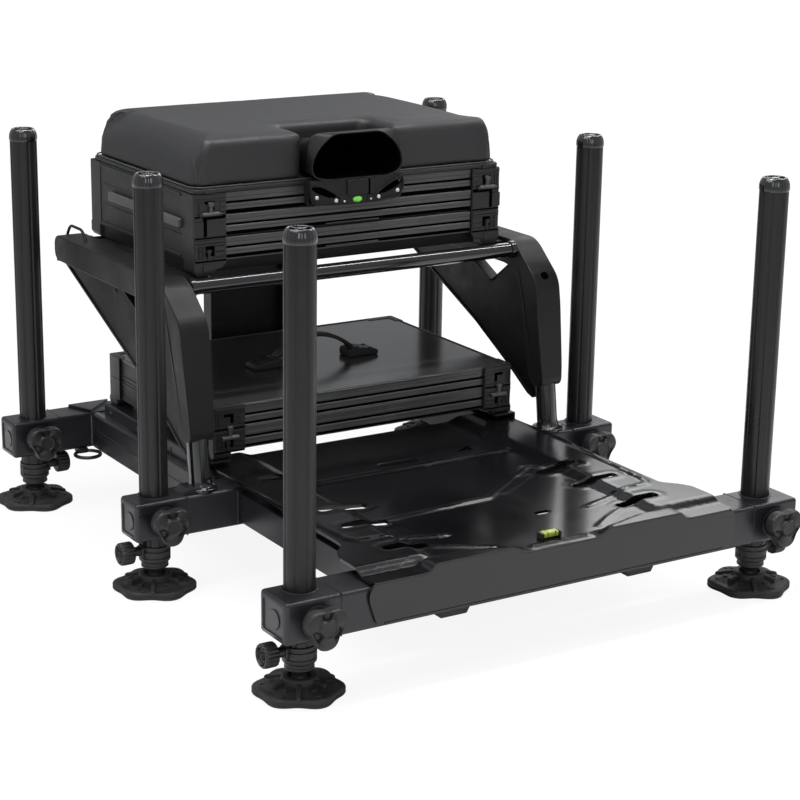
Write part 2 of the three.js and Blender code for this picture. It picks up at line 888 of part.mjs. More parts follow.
const uprightFootY = middleRow.front + uprightSetback;
const lean = Math.tan((uprightLean * Math.PI) / 180);
const uprightY = (height) => uprightFootY + (height - railTop) * lean;
const cornerY = uprightY(topRailHeight);
const topRailBack = seatBack + topRailEnd;

// Headings are angles from upright: the lean at the foot, a quarter turn on the level rail.
function tubeStations(start, end) {
  const tilt = (uprightLean * Math.PI) / 180;
  const sweep = Math.PI / 2 - tilt;
  const tangent = tubeBend * Math.tan(sweep / 2);
  const turnY = cornerY + tangent;
  const turnZ = topRailHeight - tubeBend;
  const stations = [{ y: uprightY(start), z: start, heading: tilt }];
  for (let i = 0; i <= tubeSteps; i += 1) {
    const heading = tilt + (sweep * i) / tubeSteps;
    stations.push({
      y: turnY - tubeBend * Math.cos(heading),
      z: turnZ + tubeBend * Math.sin(heading),
      heading,
    });
  }
  stations.push({ y: end, z: topRailHeight, heading: Math.PI / 2 });
  return stations;
}

function sideTube(s) {
  const x = s * uprightX;
  const start = railTop + seatGap;
  const tube = bentTube(x, tubeStations(start + uprightRadius * lean, topRailBack), uprightRadius, tubeSides);
  return tube.add(rod('z', baseFlangeRadius, socketSides, x, uprightFootY, start, start + baseFlangeThickness));
}

function sideBracket(s) {
  const x = s * uprightX;
  const half = bracketWidth / 2;
  const browY = uprightY(bracketBrow) - bracketCover;
  const cover = prism('x', [
    [uprightY(bracketFoot) - bracketCover, bracketFoot],
    [browY, bracketBrow],
    [browY + bracketBrowLength, bracketTop],
    [topRailBack + seatGap, bracketTop],
    [topRailBack + seatGap, bracketBottom],
    [cornerY + bracketCover + bracketShoulder, bracketBottom],
    [uprightY(bracketBottom - bracketShoulder) + bracketCover, bracketBottom - bracketShoulder],
    [uprightY(bracketFoot) + bracketCover, bracketFoot],
  ], x - half, x + half, bracketChamfer);
  const webFoot = uprightY(bracketFoot) + bracketCover;
  const notchY = cornerY + webNotchBack;
  const web = prism('x', [
    [webFoot - bracketChamfer - cutOver, bracketFoot + bracketChamfer],
    [webFoot - bracketChamfer, webTipHeight + webTipLength / 2],
    [webFoot + webTipBack - webTipLength, webTipHeight],
    [webFoot + webTipBack, webTipHeight + webTipLength / 4],
    [cornerY + webKneeBack, webKneeHeight],
    [topRailBack - bracketChamfer, bracketBottom - bracketChamfer],
    [topRailBack - bracketChamfer, bracketBottom + bracketChamfer],
    [notchY + webNotchHalf, bracketBottom + bracketChamfer],
    [notchY, webNotchHeight],
    [notchY - webNotchHalf, bracketBottom + bracketChamfer],
    [cornerY, bracketBottom - bracketShoulder],
  ], x - webThickness / 2, x + webThickness / 2);
  const shelfInner = x - s * (half + seatLedgeReach);
  const shelfTop = seatFootHeight - seatGap;
  const ledge = block(
    x - s * (half - bracketChamfer),
    shelfInner,
    seatFront + crossTubeRadius,
    seatBack - crossTubeRadius - rearCrossTubeBehind,
    shelfTop - seatLedgeThickness,
    shelfTop,
  );
  const loopBack = topRailBack - loopRadius;
  const loop = prism('x', [
    [loopBack - loopLength - loopRadius, bracketTop - bracketChamfer],
    [loopBack - loopLength, bracketTop + loopRadius],
    [loopBack, bracketTop + loopRadius],
    [loopBack + loopRadius, bracketTop - bracketChamfer],
    [loopBack + loopRadius - loopWire, bracketTop - bracketChamfer],
    [loopBack - loopWire / 2, bracketTop + loopRadius - loopWire],
    [loopBack - loopLength + loopWire / 2, bracketTop + loopRadius - loopWire],
    [loopBack - loopLength - loopRadius + loopWire, bracketTop - bracketChamfer],
  ], x, x + s * loopWire);
  const bore = bentTube(
    x,
    tubeStations(bracketFoot - uprightRadius, topRailBack + cutOver),
    uprightRadius + bracketTubeGap,
    tubeSides,
  );
  const boltY = browY - cutOver;
  return cover
    .add(web)
    .add(ledge)
    .add(loop)
    .subtract(bore)
    .subtract(rod('y', bracketBoltRadius, tubeSides, bracketBrow - bracketCover, x, boltY,
      browY + bracketBoltDepth));
}

for (const { side, s } of sides) {
  piece(`side_tube_${side}`, sideTube(s), coatedFrame);
  piece(`side_bracket_${side}`, sideBracket(s), mouldedBlack);
}

const coverInner = uprightX - bracketWidth / 2 - seatGap;
piece('seat_front_tube', rod('x', crossTubeRadius, socketSides, seatFront - frontCrossTubeAhead,
  crossTubeHeight, -coverInner, coverInner), coatedFrame);
const rearTubeY = seatBack - rearCrossTubeBehind;
const rearTubeZ = seatFootHeight - crossTubeRadius - 2 * seatGap;
piece('seat_rear_tube', rod('x', crossTubeRadius, socketSides, rearTubeY, rearTubeZ,
  -coverInner, coverInner), coatedFrame);

function rearPillar() {
  const half = pillarWidth / 2;
  const front = rearTubeY - pillarAhead;
  const back = front + pillarDepth;
  const low = railTop + seatGap;
  const high = rearTubeZ - crossTubeRadius - seatGap;
  let pillar = block(-half, half, front, back, low, high)
    .subtract(block(-half + pillarWall, half - pillarWall, front - cutOver, back - pillarWall,
      low + pillarWall, high - pillarWall));
  for (const level of [pillarWindowTop, pillarWindowTop - pillarWindowHeight]) {
    pillar = pillar.add(block(-half + pillarWall / 2, half - pillarWall / 2, front, back - pillarWall / 2,
      level, level + pillarRibThickness));
  }
  return pillar;
}

piece('rear_pillar', rearPillar(), mouldedBlack);

// Seat unit

// Shallow grooves across a front face that looks along -Y.
function groovedFront(solid, half, face, low, high) {
  let cut = solid;
  const pitch = (high - low) / groovesPerBand;
  for (let i = 0; i < groovesPerBand; i += 1) {
    const z = low + pitch * (i + 0.5) - grooveHeight / 2;
    cut = cut.subtract(block(-half, half, face - cutOver, face + grooveDepth, z, z + grooveHeight));
  }
  return cut;
}

// A corner moulding that wraps one vertical corner of a box.
function cornerPost(s, end, half, front, back, low, high) {
  const outer = s * half;
  const y = end < 0 ? front : back;
  return block(outer, outer - s * cornerWidth, y, y - end * cornerThickness, low, high, cornerProud / 4)
    .add(block(outer, outer - s * cornerThickness, y, y - end * cornerReturn, low, high, cornerProud / 4));
}

function seatCase() {
  const wallHalf = seatHalf - cornerProud;
  const wallFront = seatFront + cornerProud;
  const wallBack = seatBack - cornerProud;
  const low = lowerDrawerFloor - seatShelf;
  let shell = block(-wallHalf, wallHalf, wallFront, wallBack, low, seatRim);
  const openHalf = seatHalf - cornerWidth;
  const inside = wallHalf - seatWall;
  // drawer bays, open at the front between the corner mouldings
  for (const [floor, height] of [
    [lowerDrawerFloor, lowerDrawerHeight],
    [upperDrawerFloor, upperDrawerHeight],
  ]) {
    shell = shell.subtract(block(-openHalf, openHalf, wallFront - cutOver, wallBack - seatWall,
      floor, floor + height - seatShelf));
  }
  // top tray, open upwards
  shell = shell.subtract(block(-inside, inside, wallFront + seatWall, wallBack - seatWall,
    topTrayFloor, seatRim + cutOver));
  for (const { s } of sides) {
    for (const end of [-1, 1]) {
      shell = shell.add(cornerPost(s, end, seatHalf, seatFront, seatBack, seatFootHeight, seatRim)
        .subtract(block(-openHalf, openHalf, seatFront - cutOver, seatBack + cutOver,
          seatFootHeight - cutOver, topTrayFloor - seatShelf)));
    }
    const start = sideStripCentre - sideStripLength / 2;
    shell = shell.add(block(s * (seatHalf + sideStripProud), s * (wallHalf - seatWall / 2), start,
      start + sideStripLength, sideStripLevel, sideStripLevel + sideStripHeight));
  }
  shell = groovedFront(shell, openHalf, wallFront, topTrayFloor - seatShelf, seatRim);
  for (const { s } of sides) {
    shell = shell.subtract(catchPin(s, seatHalf, seatFront, topTrayFloor, catchPinRadius + runGap, catchPinOver));
    const x = (s * hingeSpacing) / 2;
    shell = shell.add(rod('x', hingeRadius, tubeSides, lidHingeY, seatRim, x - hingeKnuckle / 2, x)
      .add(block(x - hingeKnuckle / 2, x, wallBack - seatWall / 2, lidHingeY, seatRim - hingeRadius, seatRim)));
  }
  return shell;
}

function drawer(floor, height) {
  const half = seatHalf - cornerWidth - drawerClearance;
  const low = floor + seatGap;
  const high = floor + height - seatShelf - drawerClearance;
  const front = seatFront + cornerProud / 2;
  const back = front + drawerLength;
  const body = block(-half, half, front, back, low, high)
    .subtract(block(-half + drawerWall, half - drawerWall, front + drawerFrontThickness,
      back - drawerWall, low + drawerWall, high + cutOver));
  return groovedFront(body, half, front, low, high);
}

function seatLid() {
  const half = seatHalf - lidInset;
  const low = seatRim + seatGap;
  const high = low + lidThickness;
  let lid = block(-half, half, seatFront + lidInset, seatBack - lidInset, low, high, lidInset);
  for (const { s } of sides) {
    const x = (s * hingeSpacing) / 2 + seatGap;
    lid = lid.add(rod('x', hingeRadius, tubeSides, lidHingeY, seatRim, x, x + hingeKnuckle / 2)
      .add(block(x, x + hingeKnuckle / 2, seatBack - cutOver, lidHingeY, seatRim + seatGap, seatRim + hingeRadius)));
  }
  return lid;
}

// The rounded rectangle of the cushion at one level, drawn in between its corners.
function cushionRing(inset, drawIn, height) {
  const halfX = seatHalf - cushionInset - inset;
  const low = seatFront + cushionInset + inset;
  const high = seatBack - cushionInset - inset;
  const round = Math.max(cushionCorner - inset / 2, cushionCorner / 4);
  const corners = [
    [halfX - round, high - round, 0],
    [-halfX + round, high - round, 1],
    [-halfX + round, low + round, 2],
    [halfX - round, low + round, 3],
  ];
  const points = [];
  corners.forEach(([x, y, quarter], k) => {
    for (let i = 0; i <= cornerSteps; i += 1) {
      const turn = (Math.PI / 2) * (quarter + i / cornerSteps);
      points.push([x + round * Math.cos(turn), y + round * Math.sin(turn), height]);
    }
    const [nextX, nextY, nextQuarter] = corners[(k + 1) % corners.length];
    const from = points[points.length - 1];
    const start = (Math.PI / 2) * nextQuarter;
    const to = [nextX + round * Math.cos(start), nextY + round * Math.sin(start)];
    for (let i = 1; i < cushionSide; i += 1) {
      const share = i / cushionSide;
      const pull = drawIn * Math.sin(Math.PI * share);
      const out = (Math.PI / 2) * quarter + Math.PI / 2;
      points.push([
        from[0] + (to[0] - from[0]) * share - pull * Math.cos(out),
        from[1] + (to[1] - from[1]) * share - pull * Math.sin(out),
        height,
      ]);
    }
  });
  return points;
}

function cushion() {
  const top = cushionBase + cushionHeight;
  const side = top - cushionRoll;
  const rings = [
    cushionRing(cushionSeam, 0, cushionBase),
    cushionRing(0, 0, cushionBase + cushionSeam),
    cushionRing(0, cushionDrawIn, (cushionBase + side) / 2),
    cushionRing(0, cushionDrawIn / 2, side),
  ];
  for (let i = 1; i <= rollSteps; i += 1) {
    const turn = (Math.PI / 2) * (i / rollSteps);
    rings.push(cushionRing(cushionRoll * (1 - Math.cos(turn)), 0, side + cushionRoll * Math.sin(turn)));
  }
  const crownReach = seatDepth / 2 - cushionInset - cushionRoll;
  for (const share of [0.3, 0.6, 0.9]) {
    rings.push(cushionRing(cushionRoll + crownReach * share, 0, top + cushionCrown * Math.sin((Math.PI / 2) * share)));
  }
  const gap = hoodCutGap;
  const recess = prism('y', hoodOutline(gap), seatFront - cutOver, seatFront + hoodLength - hoodProud + gap);
  return skin(rings).subtract(recess);
}

// The hood's outline as (z, x): straight lower sides and an arched top, grown by margin.
function hoodOutline(margin) {
  const half = hoodWidth / 2 + margin;
  const top = hoodTop + margin;
  const bottom = hoodBottom - margin;
  const points = [[bottom, -half * 0.8], [bottom, half * 0.8], [hoodMouthFloor, half]];
  const arch = top - hoodMouthFloor - hoodShoulder / 2;
  for (let i = 0; i <= 2 * cornerSteps; i += 1) {
    const turn = (Math.PI * i) / (2 * cornerSteps);
    const reach = Math.sign(Math.cos(turn)) * Math.sqrt(Math.abs(Math.cos(turn)));
    points.push([top - arch + arch * Math.sin(turn), half * reach]);
  }
  points.push([hoodMouthFloor, -half]);
  return points;
}

function poleHood() {
  const front = seatFront - hoodProud;
  const back = front + hoodLength;
  const full = prism('y', hoodOutline(0), front, back, hoodWall / 4);
  // what lies behind the lid's front edge stands on the lid
  const underLid = block(-hoodWidth, hoodWidth, seatFront - seatGap, back + cutOver,
    hoodBottom - cutOver, cushionBase);
  const half = hoodWidth / 2 - hoodWall;
  const arch = hoodTop - hoodWall - hoodMouthFloor - hoodShoulder / 2;
  const mouth = [[hoodMouthFloor, -half * 0.82], [hoodMouthFloor, half * 0.82]];
  for (let i = 0; i <= 2 * cornerSteps; i += 1) {
    const turn = (Math.PI * i) / (2 * cornerSteps);
    const reach = Math.sign(Math.cos(turn)) * Math.sqrt(Math.abs(Math.cos(turn)));
    mouth.push([hoodTop - hoodWall - arch + arch * Math.sin(turn), half * reach]);
  }
  const cup = prism('y', mouth, front - cutOver, back - hoodWall);
  const seat = rod('y', hoodVialRadius + seatGap, tubeSides, hoodVialLevel, 0, front - cutOver, front + hoodVialRadius);
  return full.subtract(underLid).subtract(cup).subtract(seat);
}

function hoodVial() {
  const front = seatFront - hoodProud;
  return rod('y', hoodVialRadius, tubeSides, hoodVialLevel, 0, front + hoodVialRadius - seatGap,
    front - hoodVialRadius / 2);
}

// Catches: a T-shaped plate that turns on a pin in the corner moulding.
function catchPin(s, half, front, level, radius, over) {
  const x = s * (half - cornerWidth / 2);
  const y = front - catchThickness / 2;
  return rod('x', radius, tubeSides, y, level, x - catchWidth / 2 - over, x + catchWidth / 2 + over);
}

function cornerCatch(s, half, front, level) {
  const x = s * (half - cornerWidth / 2);
  const face = front - seatGap;
  const outline = [
    [level - catchPinRadius, x - catchWidth / 2],
    [level - catchPinRadius, x + catchWidth / 2],
    [level + catchBar, x + catchWidth / 2],
    [level + catchBar, x + catchStem / 2],
    [level + catchHeight, x + catchStem / 2],
    [level + catchHeight, x - catchStem / 2],
    [level + catchBar, x - catchStem / 2],
    [level + catchBar, x - catchWidth / 2],
  ];
  return prism('y', outline, face - catchThickness, face, catchPinRadius / 2);
}

piece('seat_case', seatCase(), grooved);
piece('drawer_lower', drawer(lowerDrawerFloor, lowerDrawerHeight), grooved);
piece('drawer_upper', drawer(upperDrawerFloor, upperDrawerHeight), grooved);
piece('seat_lid', seatLid(), mouldedBlack);
piece('cushion', cushion(), leatherette);
piece('pole_hood', poleHood(), mouldedBlack);
piece('hood_vial', hoodVial(), spiritGreen);
for (const { side, s } of sides) {
  piece(`seat_catch_${side}`, cornerCatch(s, seatHalf, seatFront, topTrayFloor), mouldedBlack);
}

// Cassette box

function cassetteTray() {
  const wallHalf = cassetteHalf - cornerProud;
  const wallFront = cassetteFront + cornerProud;
  const wallBack = cassetteBack - cornerProud;
  const footBottom = railTop + ledgeHeight + seatGap;
  let tray = block(-wallHalf, wallHalf, wallFront, wallBack, cassetteFloor, cassetteSplit)
    .subtract(block(-wallHalf + cassetteWall, wallHalf - cassetteWall, wallFront + cassetteWall,
      wallBack - cassetteWall, cassetteFloor + cassetteLidPlate, cassetteSplit + cutOver));
  for (const { s } of sides) {
    for (const end of [-1, 1]) {
      tray = tray.add(cornerPost(s, end, cassetteHalf, cassetteFront, cassetteBack, cassetteFloor, cassetteSplit));
      const y = end < 0 ? cassetteFront : cassetteBack;
      tray = tray.add(block(s * cassetteHalf, s * (cassetteHalf - cassetteFootWidth), y,
        y - end * cassetteFootWidth, footBottom, cassetteFloor + cassetteLidPlate / 2));
    }
    const x = (s * hingeSpacing) / 2;
    tray = tray.add(rod('x', hingeRadius, tubeSides, cassetteBack + hingeBehind, cassetteSplit, x - hingeKnuckle / 2, x)
      .add(block(x - hingeKnuckle / 2, x, wallBack - cassetteWall / 2, cassetteBack + hingeBehind,
        cassetteSplit - hingeRadius, cassetteSplit)));
  }
  return groovedFront(tray, cassetteHalf - cornerWidth, wallFront, cassetteFloor, cassetteSplit);
}

function cassetteLid() {
  const wallHalf = cassetteHalf - cornerProud;
  const wallFront = cassetteFront + cornerProud;
  const wallBack = cassetteBack - cornerProud;
  const low = cassetteSplit + seatGap;
  let lid = block(-wallHalf, wallHalf, wallFront, wallBack, low, cassetteTop - cassetteLidPlate / 2)
    .subtract(block(-wallHalf + cassetteWall, wallHalf - cassetteWall, wallFront + cassetteWall,
      wallBack - cassetteWall, low - cutOver, cassetteTop - cassetteLidPlate * 2));
  for (const { s } of sides) {
    for (const end of [-1, 1]) {
      lid = lid.add(cornerPost(s, end, cassetteHalf, cassetteFront, cassetteBack, low, cassetteTop));
    }
    const x = (s * hingeSpacing) / 2 + seatGap;
    lid = lid.add(rod('x', hingeRadius, tubeSides, cassetteBack + hingeBehind, cassetteSplit, x, x + hingeKnuckle / 2)
      .add(block(x, x + hingeKnuckle / 2, wallBack - cassetteWall / 2, cassetteBack + hingeBehind,
        low, low + hingeRadius)));
  }
  return groovedFront(lid, cassetteHalf - cornerWidth, wallFront, low, cassetteTop);
}

function carryHandle() {
  const y = cassetteFront + handleSetback;
  const base = cassetteTop - cassetteLidPlate / 2 + seatGap;
  const half = handleSpan / 2;
  const inner = [];
  const outer = [];
  for (let i = 0; i <= 2 * cornerSteps; i += 1) {
    const turn = (Math.PI * i) / (2 * cornerSteps);
    inner.push([base + handleLugHeight / 2 + (handleRise - handleThickness) * Math.sin(turn),
      (half - handleThickness) * Math.cos(turn)]);
    outer.unshift([base + handleLugHeight / 2 + handleRise * Math.sin(turn), half * Math.cos(turn)]);
  }
  let handle = prism('y', [...inner, ...outer], y - handleWidth / 2, y + handleWidth / 2);
  for (const { s } of sides) {
    const lug = (s * handleLugSpacing) / 2;
    handle = handle.add(block(lug - handleLugLength / 2, lug + handleLugLength / 2,
      y - handleWidth / 2 - handleThickness, y + handleWidth / 2 + handleThickness,
      base, base + handleLugHeight, handleThickness / 2));
  }
  return handle;
}

piece('cassette_tray', cassetteTray(), grooved);
piece('cassette_lid', cassetteLid(), satinLid);
piece('cassette_handle', carryHandle(), mouldedBlack);
for (const { side, s } of sides) {
  piece(`cassette_catch_${side}`, cornerCatch(s, cassetteHalf, cassetteFront, cassetteSplit - catchHeight / 2),
    mouldedBlack);
}

// The origin goes on the ground, under the middle of the whole object.
const bounds = new THREE.Box3().setFromObject(group);
const middle = bounds.getCenter(new THREE.Vector3());
group.position.set(-middle.x, -middle.y, -bounds.min.z);

export default group;
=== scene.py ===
"""An angler's seat box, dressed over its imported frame: legs and feet, platform, footplate,
side frames, seat unit with its cushion, and the cassette box. Lengths in the making are
millimetres, and each mesh is turned to metres as its first points are placed."""
import math

import bmesh
import bpy
import numpy as np
from mathutils import Matrix, Vector
from mathutils.bvhtree import BVHTree


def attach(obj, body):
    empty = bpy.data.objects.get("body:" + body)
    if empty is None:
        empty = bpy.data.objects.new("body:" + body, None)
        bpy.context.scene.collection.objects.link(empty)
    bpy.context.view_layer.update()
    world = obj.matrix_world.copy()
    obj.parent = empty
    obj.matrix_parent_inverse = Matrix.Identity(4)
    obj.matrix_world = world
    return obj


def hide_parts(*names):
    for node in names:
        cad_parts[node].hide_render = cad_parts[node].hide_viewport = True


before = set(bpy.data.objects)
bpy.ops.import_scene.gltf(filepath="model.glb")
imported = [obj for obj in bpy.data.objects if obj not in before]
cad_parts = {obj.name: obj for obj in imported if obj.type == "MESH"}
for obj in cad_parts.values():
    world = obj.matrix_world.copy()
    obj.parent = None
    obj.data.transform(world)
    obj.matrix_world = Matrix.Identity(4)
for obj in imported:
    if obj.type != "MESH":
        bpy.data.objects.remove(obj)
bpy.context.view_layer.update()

MM = 0.001

# The legs stand in three rows of two: their centre lines, and the faces of each row's rail.
ROWS = {"front": -372.0, "middle": -2.0, "rear": 386.0}
RAIL_FACE = {"front": -410.0, "middle": -32.0, "rear": 364.0}
RAIL_BACK = {"front": -350.0, "middle": 16.0, "rear": 412.0}
SIDES = {"left": -1.0, "right": 1.0}
LEG_X = 329.0
LEG_RADIUS = 18.0
RAIL_LOW, RAIL_HIGH = 74, 124
CLAMP_LEVEL = 98

# The photograph's viewpoint: degrees of yaw, pitch and roll, metres, and the lens in millimetres.
VIEW_TURN = (-32.2214658, 16.0758739, 0.881130453)
VIEW_PLACE = (-1.39084, -2.25843, 0.96447)
VIEW_LENS = 94.408

# Soft studio lamps: place, aim and size in metres, power in watts.
LAMPS = {
    "overhead": ((-0.9, 0.0, 2.5), (0.0, 0.0, 0.2), (2.2, 2.2), 39),
    "strip": ((0.9, -0.2, 2.2), (0.9, -0.1, 0.3), (3.2, 0.12), 32),
    "front": ((-1.2, -2.9, 1.7), (0.0, 0.0, 0.3), (1.2, 1.6), 11),
    "right_rear": ((2.2, 1.6, 1.8), (0.0, 0.0, 0.3), (1.4, 1.4), 15),
}
WORLD_STRENGTH = 0.42
FLOOR_WHITE = 1.04


# ---------------------------------------------------------------- camera, light and floor

def set_camera():
    """The viewpoint that the photograph was taken from."""
    yaw, pitch, roll = (math.radians(angle) for angle in VIEW_TURN)
    back = Vector((math.sin(yaw) * math.cos(pitch), -math.cos(yaw) * math.cos(pitch), math.sin(pitch)))
    ahead = -back
    right = ahead.cross(Vector((0, 0, 1))).normalized()
    up = right.cross(ahead)
    right_rolled = right * math.cos(roll) + up * math.sin(roll)
    up_rolled = up * math.cos(roll) - right * math.sin(roll)
    data = bpy.data.cameras.new("view")
    data.sensor_width = 36.0
    data.lens = VIEW_LENS
    data.clip_end = 50.0
    camera = bpy.data.objects.new("view", data)
    turn = Matrix((right_rolled, up_rolled, -ahead)).transposed().to_4x4()
    camera.matrix_world = Matrix.Translation(VIEW_PLACE) @ turn
    bpy.context.scene.collection.objects.link(camera)
    bpy.context.scene.camera = camera


def area_light(name, place, aim, size, power):
    """A rectangular lamp aimed at a point."""
    data = bpy.data.lights.new(name, "AREA")
    data.shape = "RECTANGLE"
    data.size, data.size_y = size
    data.energy = power
    light = bpy.data.objects.new(name, data)
    light.location = place
    light.rotation_euler = (Vector(aim) - Vector(place)).to_track_quat("-Z", "Y").to_euler()
    bpy.context.scene.collection.objects.link(light)


def set_inputs(node, values):
    """Gives a node plain input values; an underscore stands for the space in an input's name."""
    for label, value in values.items():
        node.inputs[label.replace("_", " ")].default_value = value
    return node


def add_node(nodes, kind, **values):
    return set_inputs(nodes.new(kind), values)


def math_node(nodes, links, operation, first, second):
    """Output of a sum on two values, each a plain number or another output."""
    node = nodes.new("ShaderNodeMath")
    node.operation = operation
    for socket, value in zip(node.inputs, (first, second)):
        if hasattr(value, "is_output"):
            links.new(value, socket)
        else:
            socket.default_value = value
    return node.outputs[0]


def set_light():
    """Four lamps and a dim world, which the camera sees as white."""
    scene = bpy.context.scene
    scene.view_settings.view_transform = "Standard"
    world = bpy.data.worlds.new("studio")
    scene.world = world
    world.use_nodes = True
    nodes, links = world.node_tree.nodes, world.node_tree.links
    nodes.clear()
    out = nodes.new("ShaderNodeOutputWorld")
    soft = add_node(nodes, "ShaderNodeBackground", Color=(0.95, 0.97, 1.0, 1.0), Strength=WORLD_STRENGTH)
    white = add_node(nodes, "ShaderNodeBackground", Color=(1.0, 1.0, 1.0, 1.0), Strength=1.0)
    path = nodes.new("ShaderNodeLightPath")
    mix = nodes.new("ShaderNodeMixShader")
    links.new(path.outputs["Is Camera Ray"], mix.inputs["Fac"])
    links.new(soft.outputs["Background"], mix.inputs[1])
    links.new(white.outputs["Background"], mix.inputs[2])
    links.new(mix.outputs["Shader"], out.inputs["Surface"])
    for name, lamp in LAMPS.items():
        area_light(name, *lamp)


def set_floor():
    """White paper under the object."""
    bm = bmesh.new()
    bmesh.ops.create_grid(bm, x_segments=4, y_segments=4, size=9.0)
    mesh = bpy.data.meshes.new("floor")
    bm.to_mesh(mesh)
    bm.free()
    floor = bpy.data.objects.new("floor", mesh)
    floor.location = (0, 0, -0.0005)
    bpy.context.scene.collection.objects.link(floor)
    material = bpy.data.materials.new("studio_floor")
    material.use_nodes = True
    nodes, links = material.node_tree.nodes, material.node_tree.links
    nodes.clear()
    out = nodes.new("ShaderNodeOutputMaterial")
    matte = add_node(nodes, "ShaderNodeBsdfDiffuse", Color=(0.88, 0.88, 0.88, 1))
    glow = add_node(nodes, "ShaderNodeEmission", Color=(1, 1, 1, 1), Strength=FLOOR_WHITE)
    place = nodes.new("ShaderNodeTexCoord")
    away = nodes.new("ShaderNodeVectorMath")
    away.operation = "LENGTH"
    links.new(place.outputs["Object"], away.inputs[0])
    # the paper is white all round and keeps a faint shadow near the object
    fade = add_node(nodes, "ShaderNodeMapRange", From_Min=0.62, From_Max=1.0, To_Min=0.86, To_Max=1.0)
    fade.interpolation_type = "SMOOTHSTEP"
    links.new(away.outputs["Value"], fade.inputs["Value"])
    path = nodes.new("ShaderNodeLightPath")
    share = math_node(nodes, links, "MULTIPLY", fade.outputs["Result"], path.outputs["Is Camera Ray"])
    mix = nodes.new("ShaderNodeMixShader")
    links.new(share, mix.inputs["Fac"])
    links.new(matte.outputs["BSDF"], mix.inputs[1])
    links.new(glow.outputs["Emission"], mix.inputs[2])
    links.new(mix.outputs["Shader"], out.inputs["Surface"])
    mesh.materials.append(material)


# ---------------------------------------------------------------- surface effects

def new_group(name, inputs, outputs):
    """An empty node group with its sockets, its start and its end."""
    group = bpy.data.node_groups.new(name, "ShaderNodeTree")
    for label, kind, value in inputs:
        socket = group.interface.new_socket(name=label, in_out="INPUT", socket_type=kind)
        socket.default_value = value
    for label, kind in outputs:
        group.interface.new_socket(name=label, in_out="OUTPUT", socket_type=kind)
    return group, group.nodes.new("NodeGroupInput"), group.nodes.new("NodeGroupOutput")


def moulded_grain_group():
    """Spark-eroded grain of moulded and powder-coated faces."""
    group, start, end = new_group(
        "moulded_grain",
        [("Grain", "NodeSocketFloat", 900.0), ("Pits", "NodeSocketFloat", 0.35)],
        [("Height", "NodeSocketFloat")],
    )
    nodes, links = group.nodes, group.links
    place = nodes.new("ShaderNodeTexCoord")
    fine = add_node(nodes, "ShaderNodeTexNoise", Detail=4.0, Roughness=0.6)
    links.new(place.outputs["Object"], fine.inputs["Vector"])
    links.new(start.outputs["Grain"], fine.inputs["Scale"])
    cells = nodes.new("ShaderNodeTexVoronoi")
    links.new(place.outputs["Object"], cells.inputs["Vector"])
    links.new(math_node(nodes, links, "MULTIPLY", start.outputs["Grain"], 0.7), cells.inputs["Scale"])
    pits = math_node(nodes, links, "MULTIPLY", cells.outputs["Distance"], start.outputs["Pits"])
    links.new(math_node(nodes, links, "ADD", fine.outputs["Fac"], pits), end.inputs["Height"])
    return group


def handling_group():
    """Broad cloudy patches with a few rubbed streaks, from 0 to 1."""
    group, start, end = new_group(
        "handling_marks",
        [("Patch size", "NodeSocketFloat", 9.0), ("Streaks", "NodeSocketFloat", 0.3)],
        [("Marks", "NodeSocketFloat")],
    )
    nodes, links = group.nodes, group.links
    place = nodes.new("ShaderNodeTexCoord")
    cloud = add_node(nodes, "ShaderNodeTexNoise", Detail=6.0, Roughness=0.62, Distortion=0.4)
    links.new(place.outputs["Object"], cloud.inputs["Vector"])
    links.new(start.outputs["Patch size"], cloud.inputs["Scale"])
    pull = add_node(nodes, "ShaderNodeMapping", Scale=(22.0, 160.0, 60.0), Rotation=(0.2, 0.1, 0.5))
    links.new(place.outputs["Object"], pull.inputs["Vector"])
    thin = add_node(nodes, "ShaderNodeTexNoise", Scale=1.0, Detail=3.0)
    links.new(pull.outputs["Vector"], thin.inputs["Vector"])
    ramp = add_node(nodes, "ShaderNodeMapRange", From_Min=0.56, From_Max=0.74)
    links.new(thin.outputs["Fac"], ramp.inputs["Value"])
    streak = math_node(nodes, links, "MULTIPLY", ramp.outputs["Result"], start.outputs["Streaks"])
    spread = add_node(nodes, "ShaderNodeMapRange", From_Min=0.3, From_Max=0.7)
    links.new(cloud.outputs["Fac"], spread.inputs["Value"])
    both = math_node(nodes, links, "ADD", spread.outputs["Result"], streak)
    both.node.use_clamp = True
    links.new(both, end.inputs["Marks"])
    return group


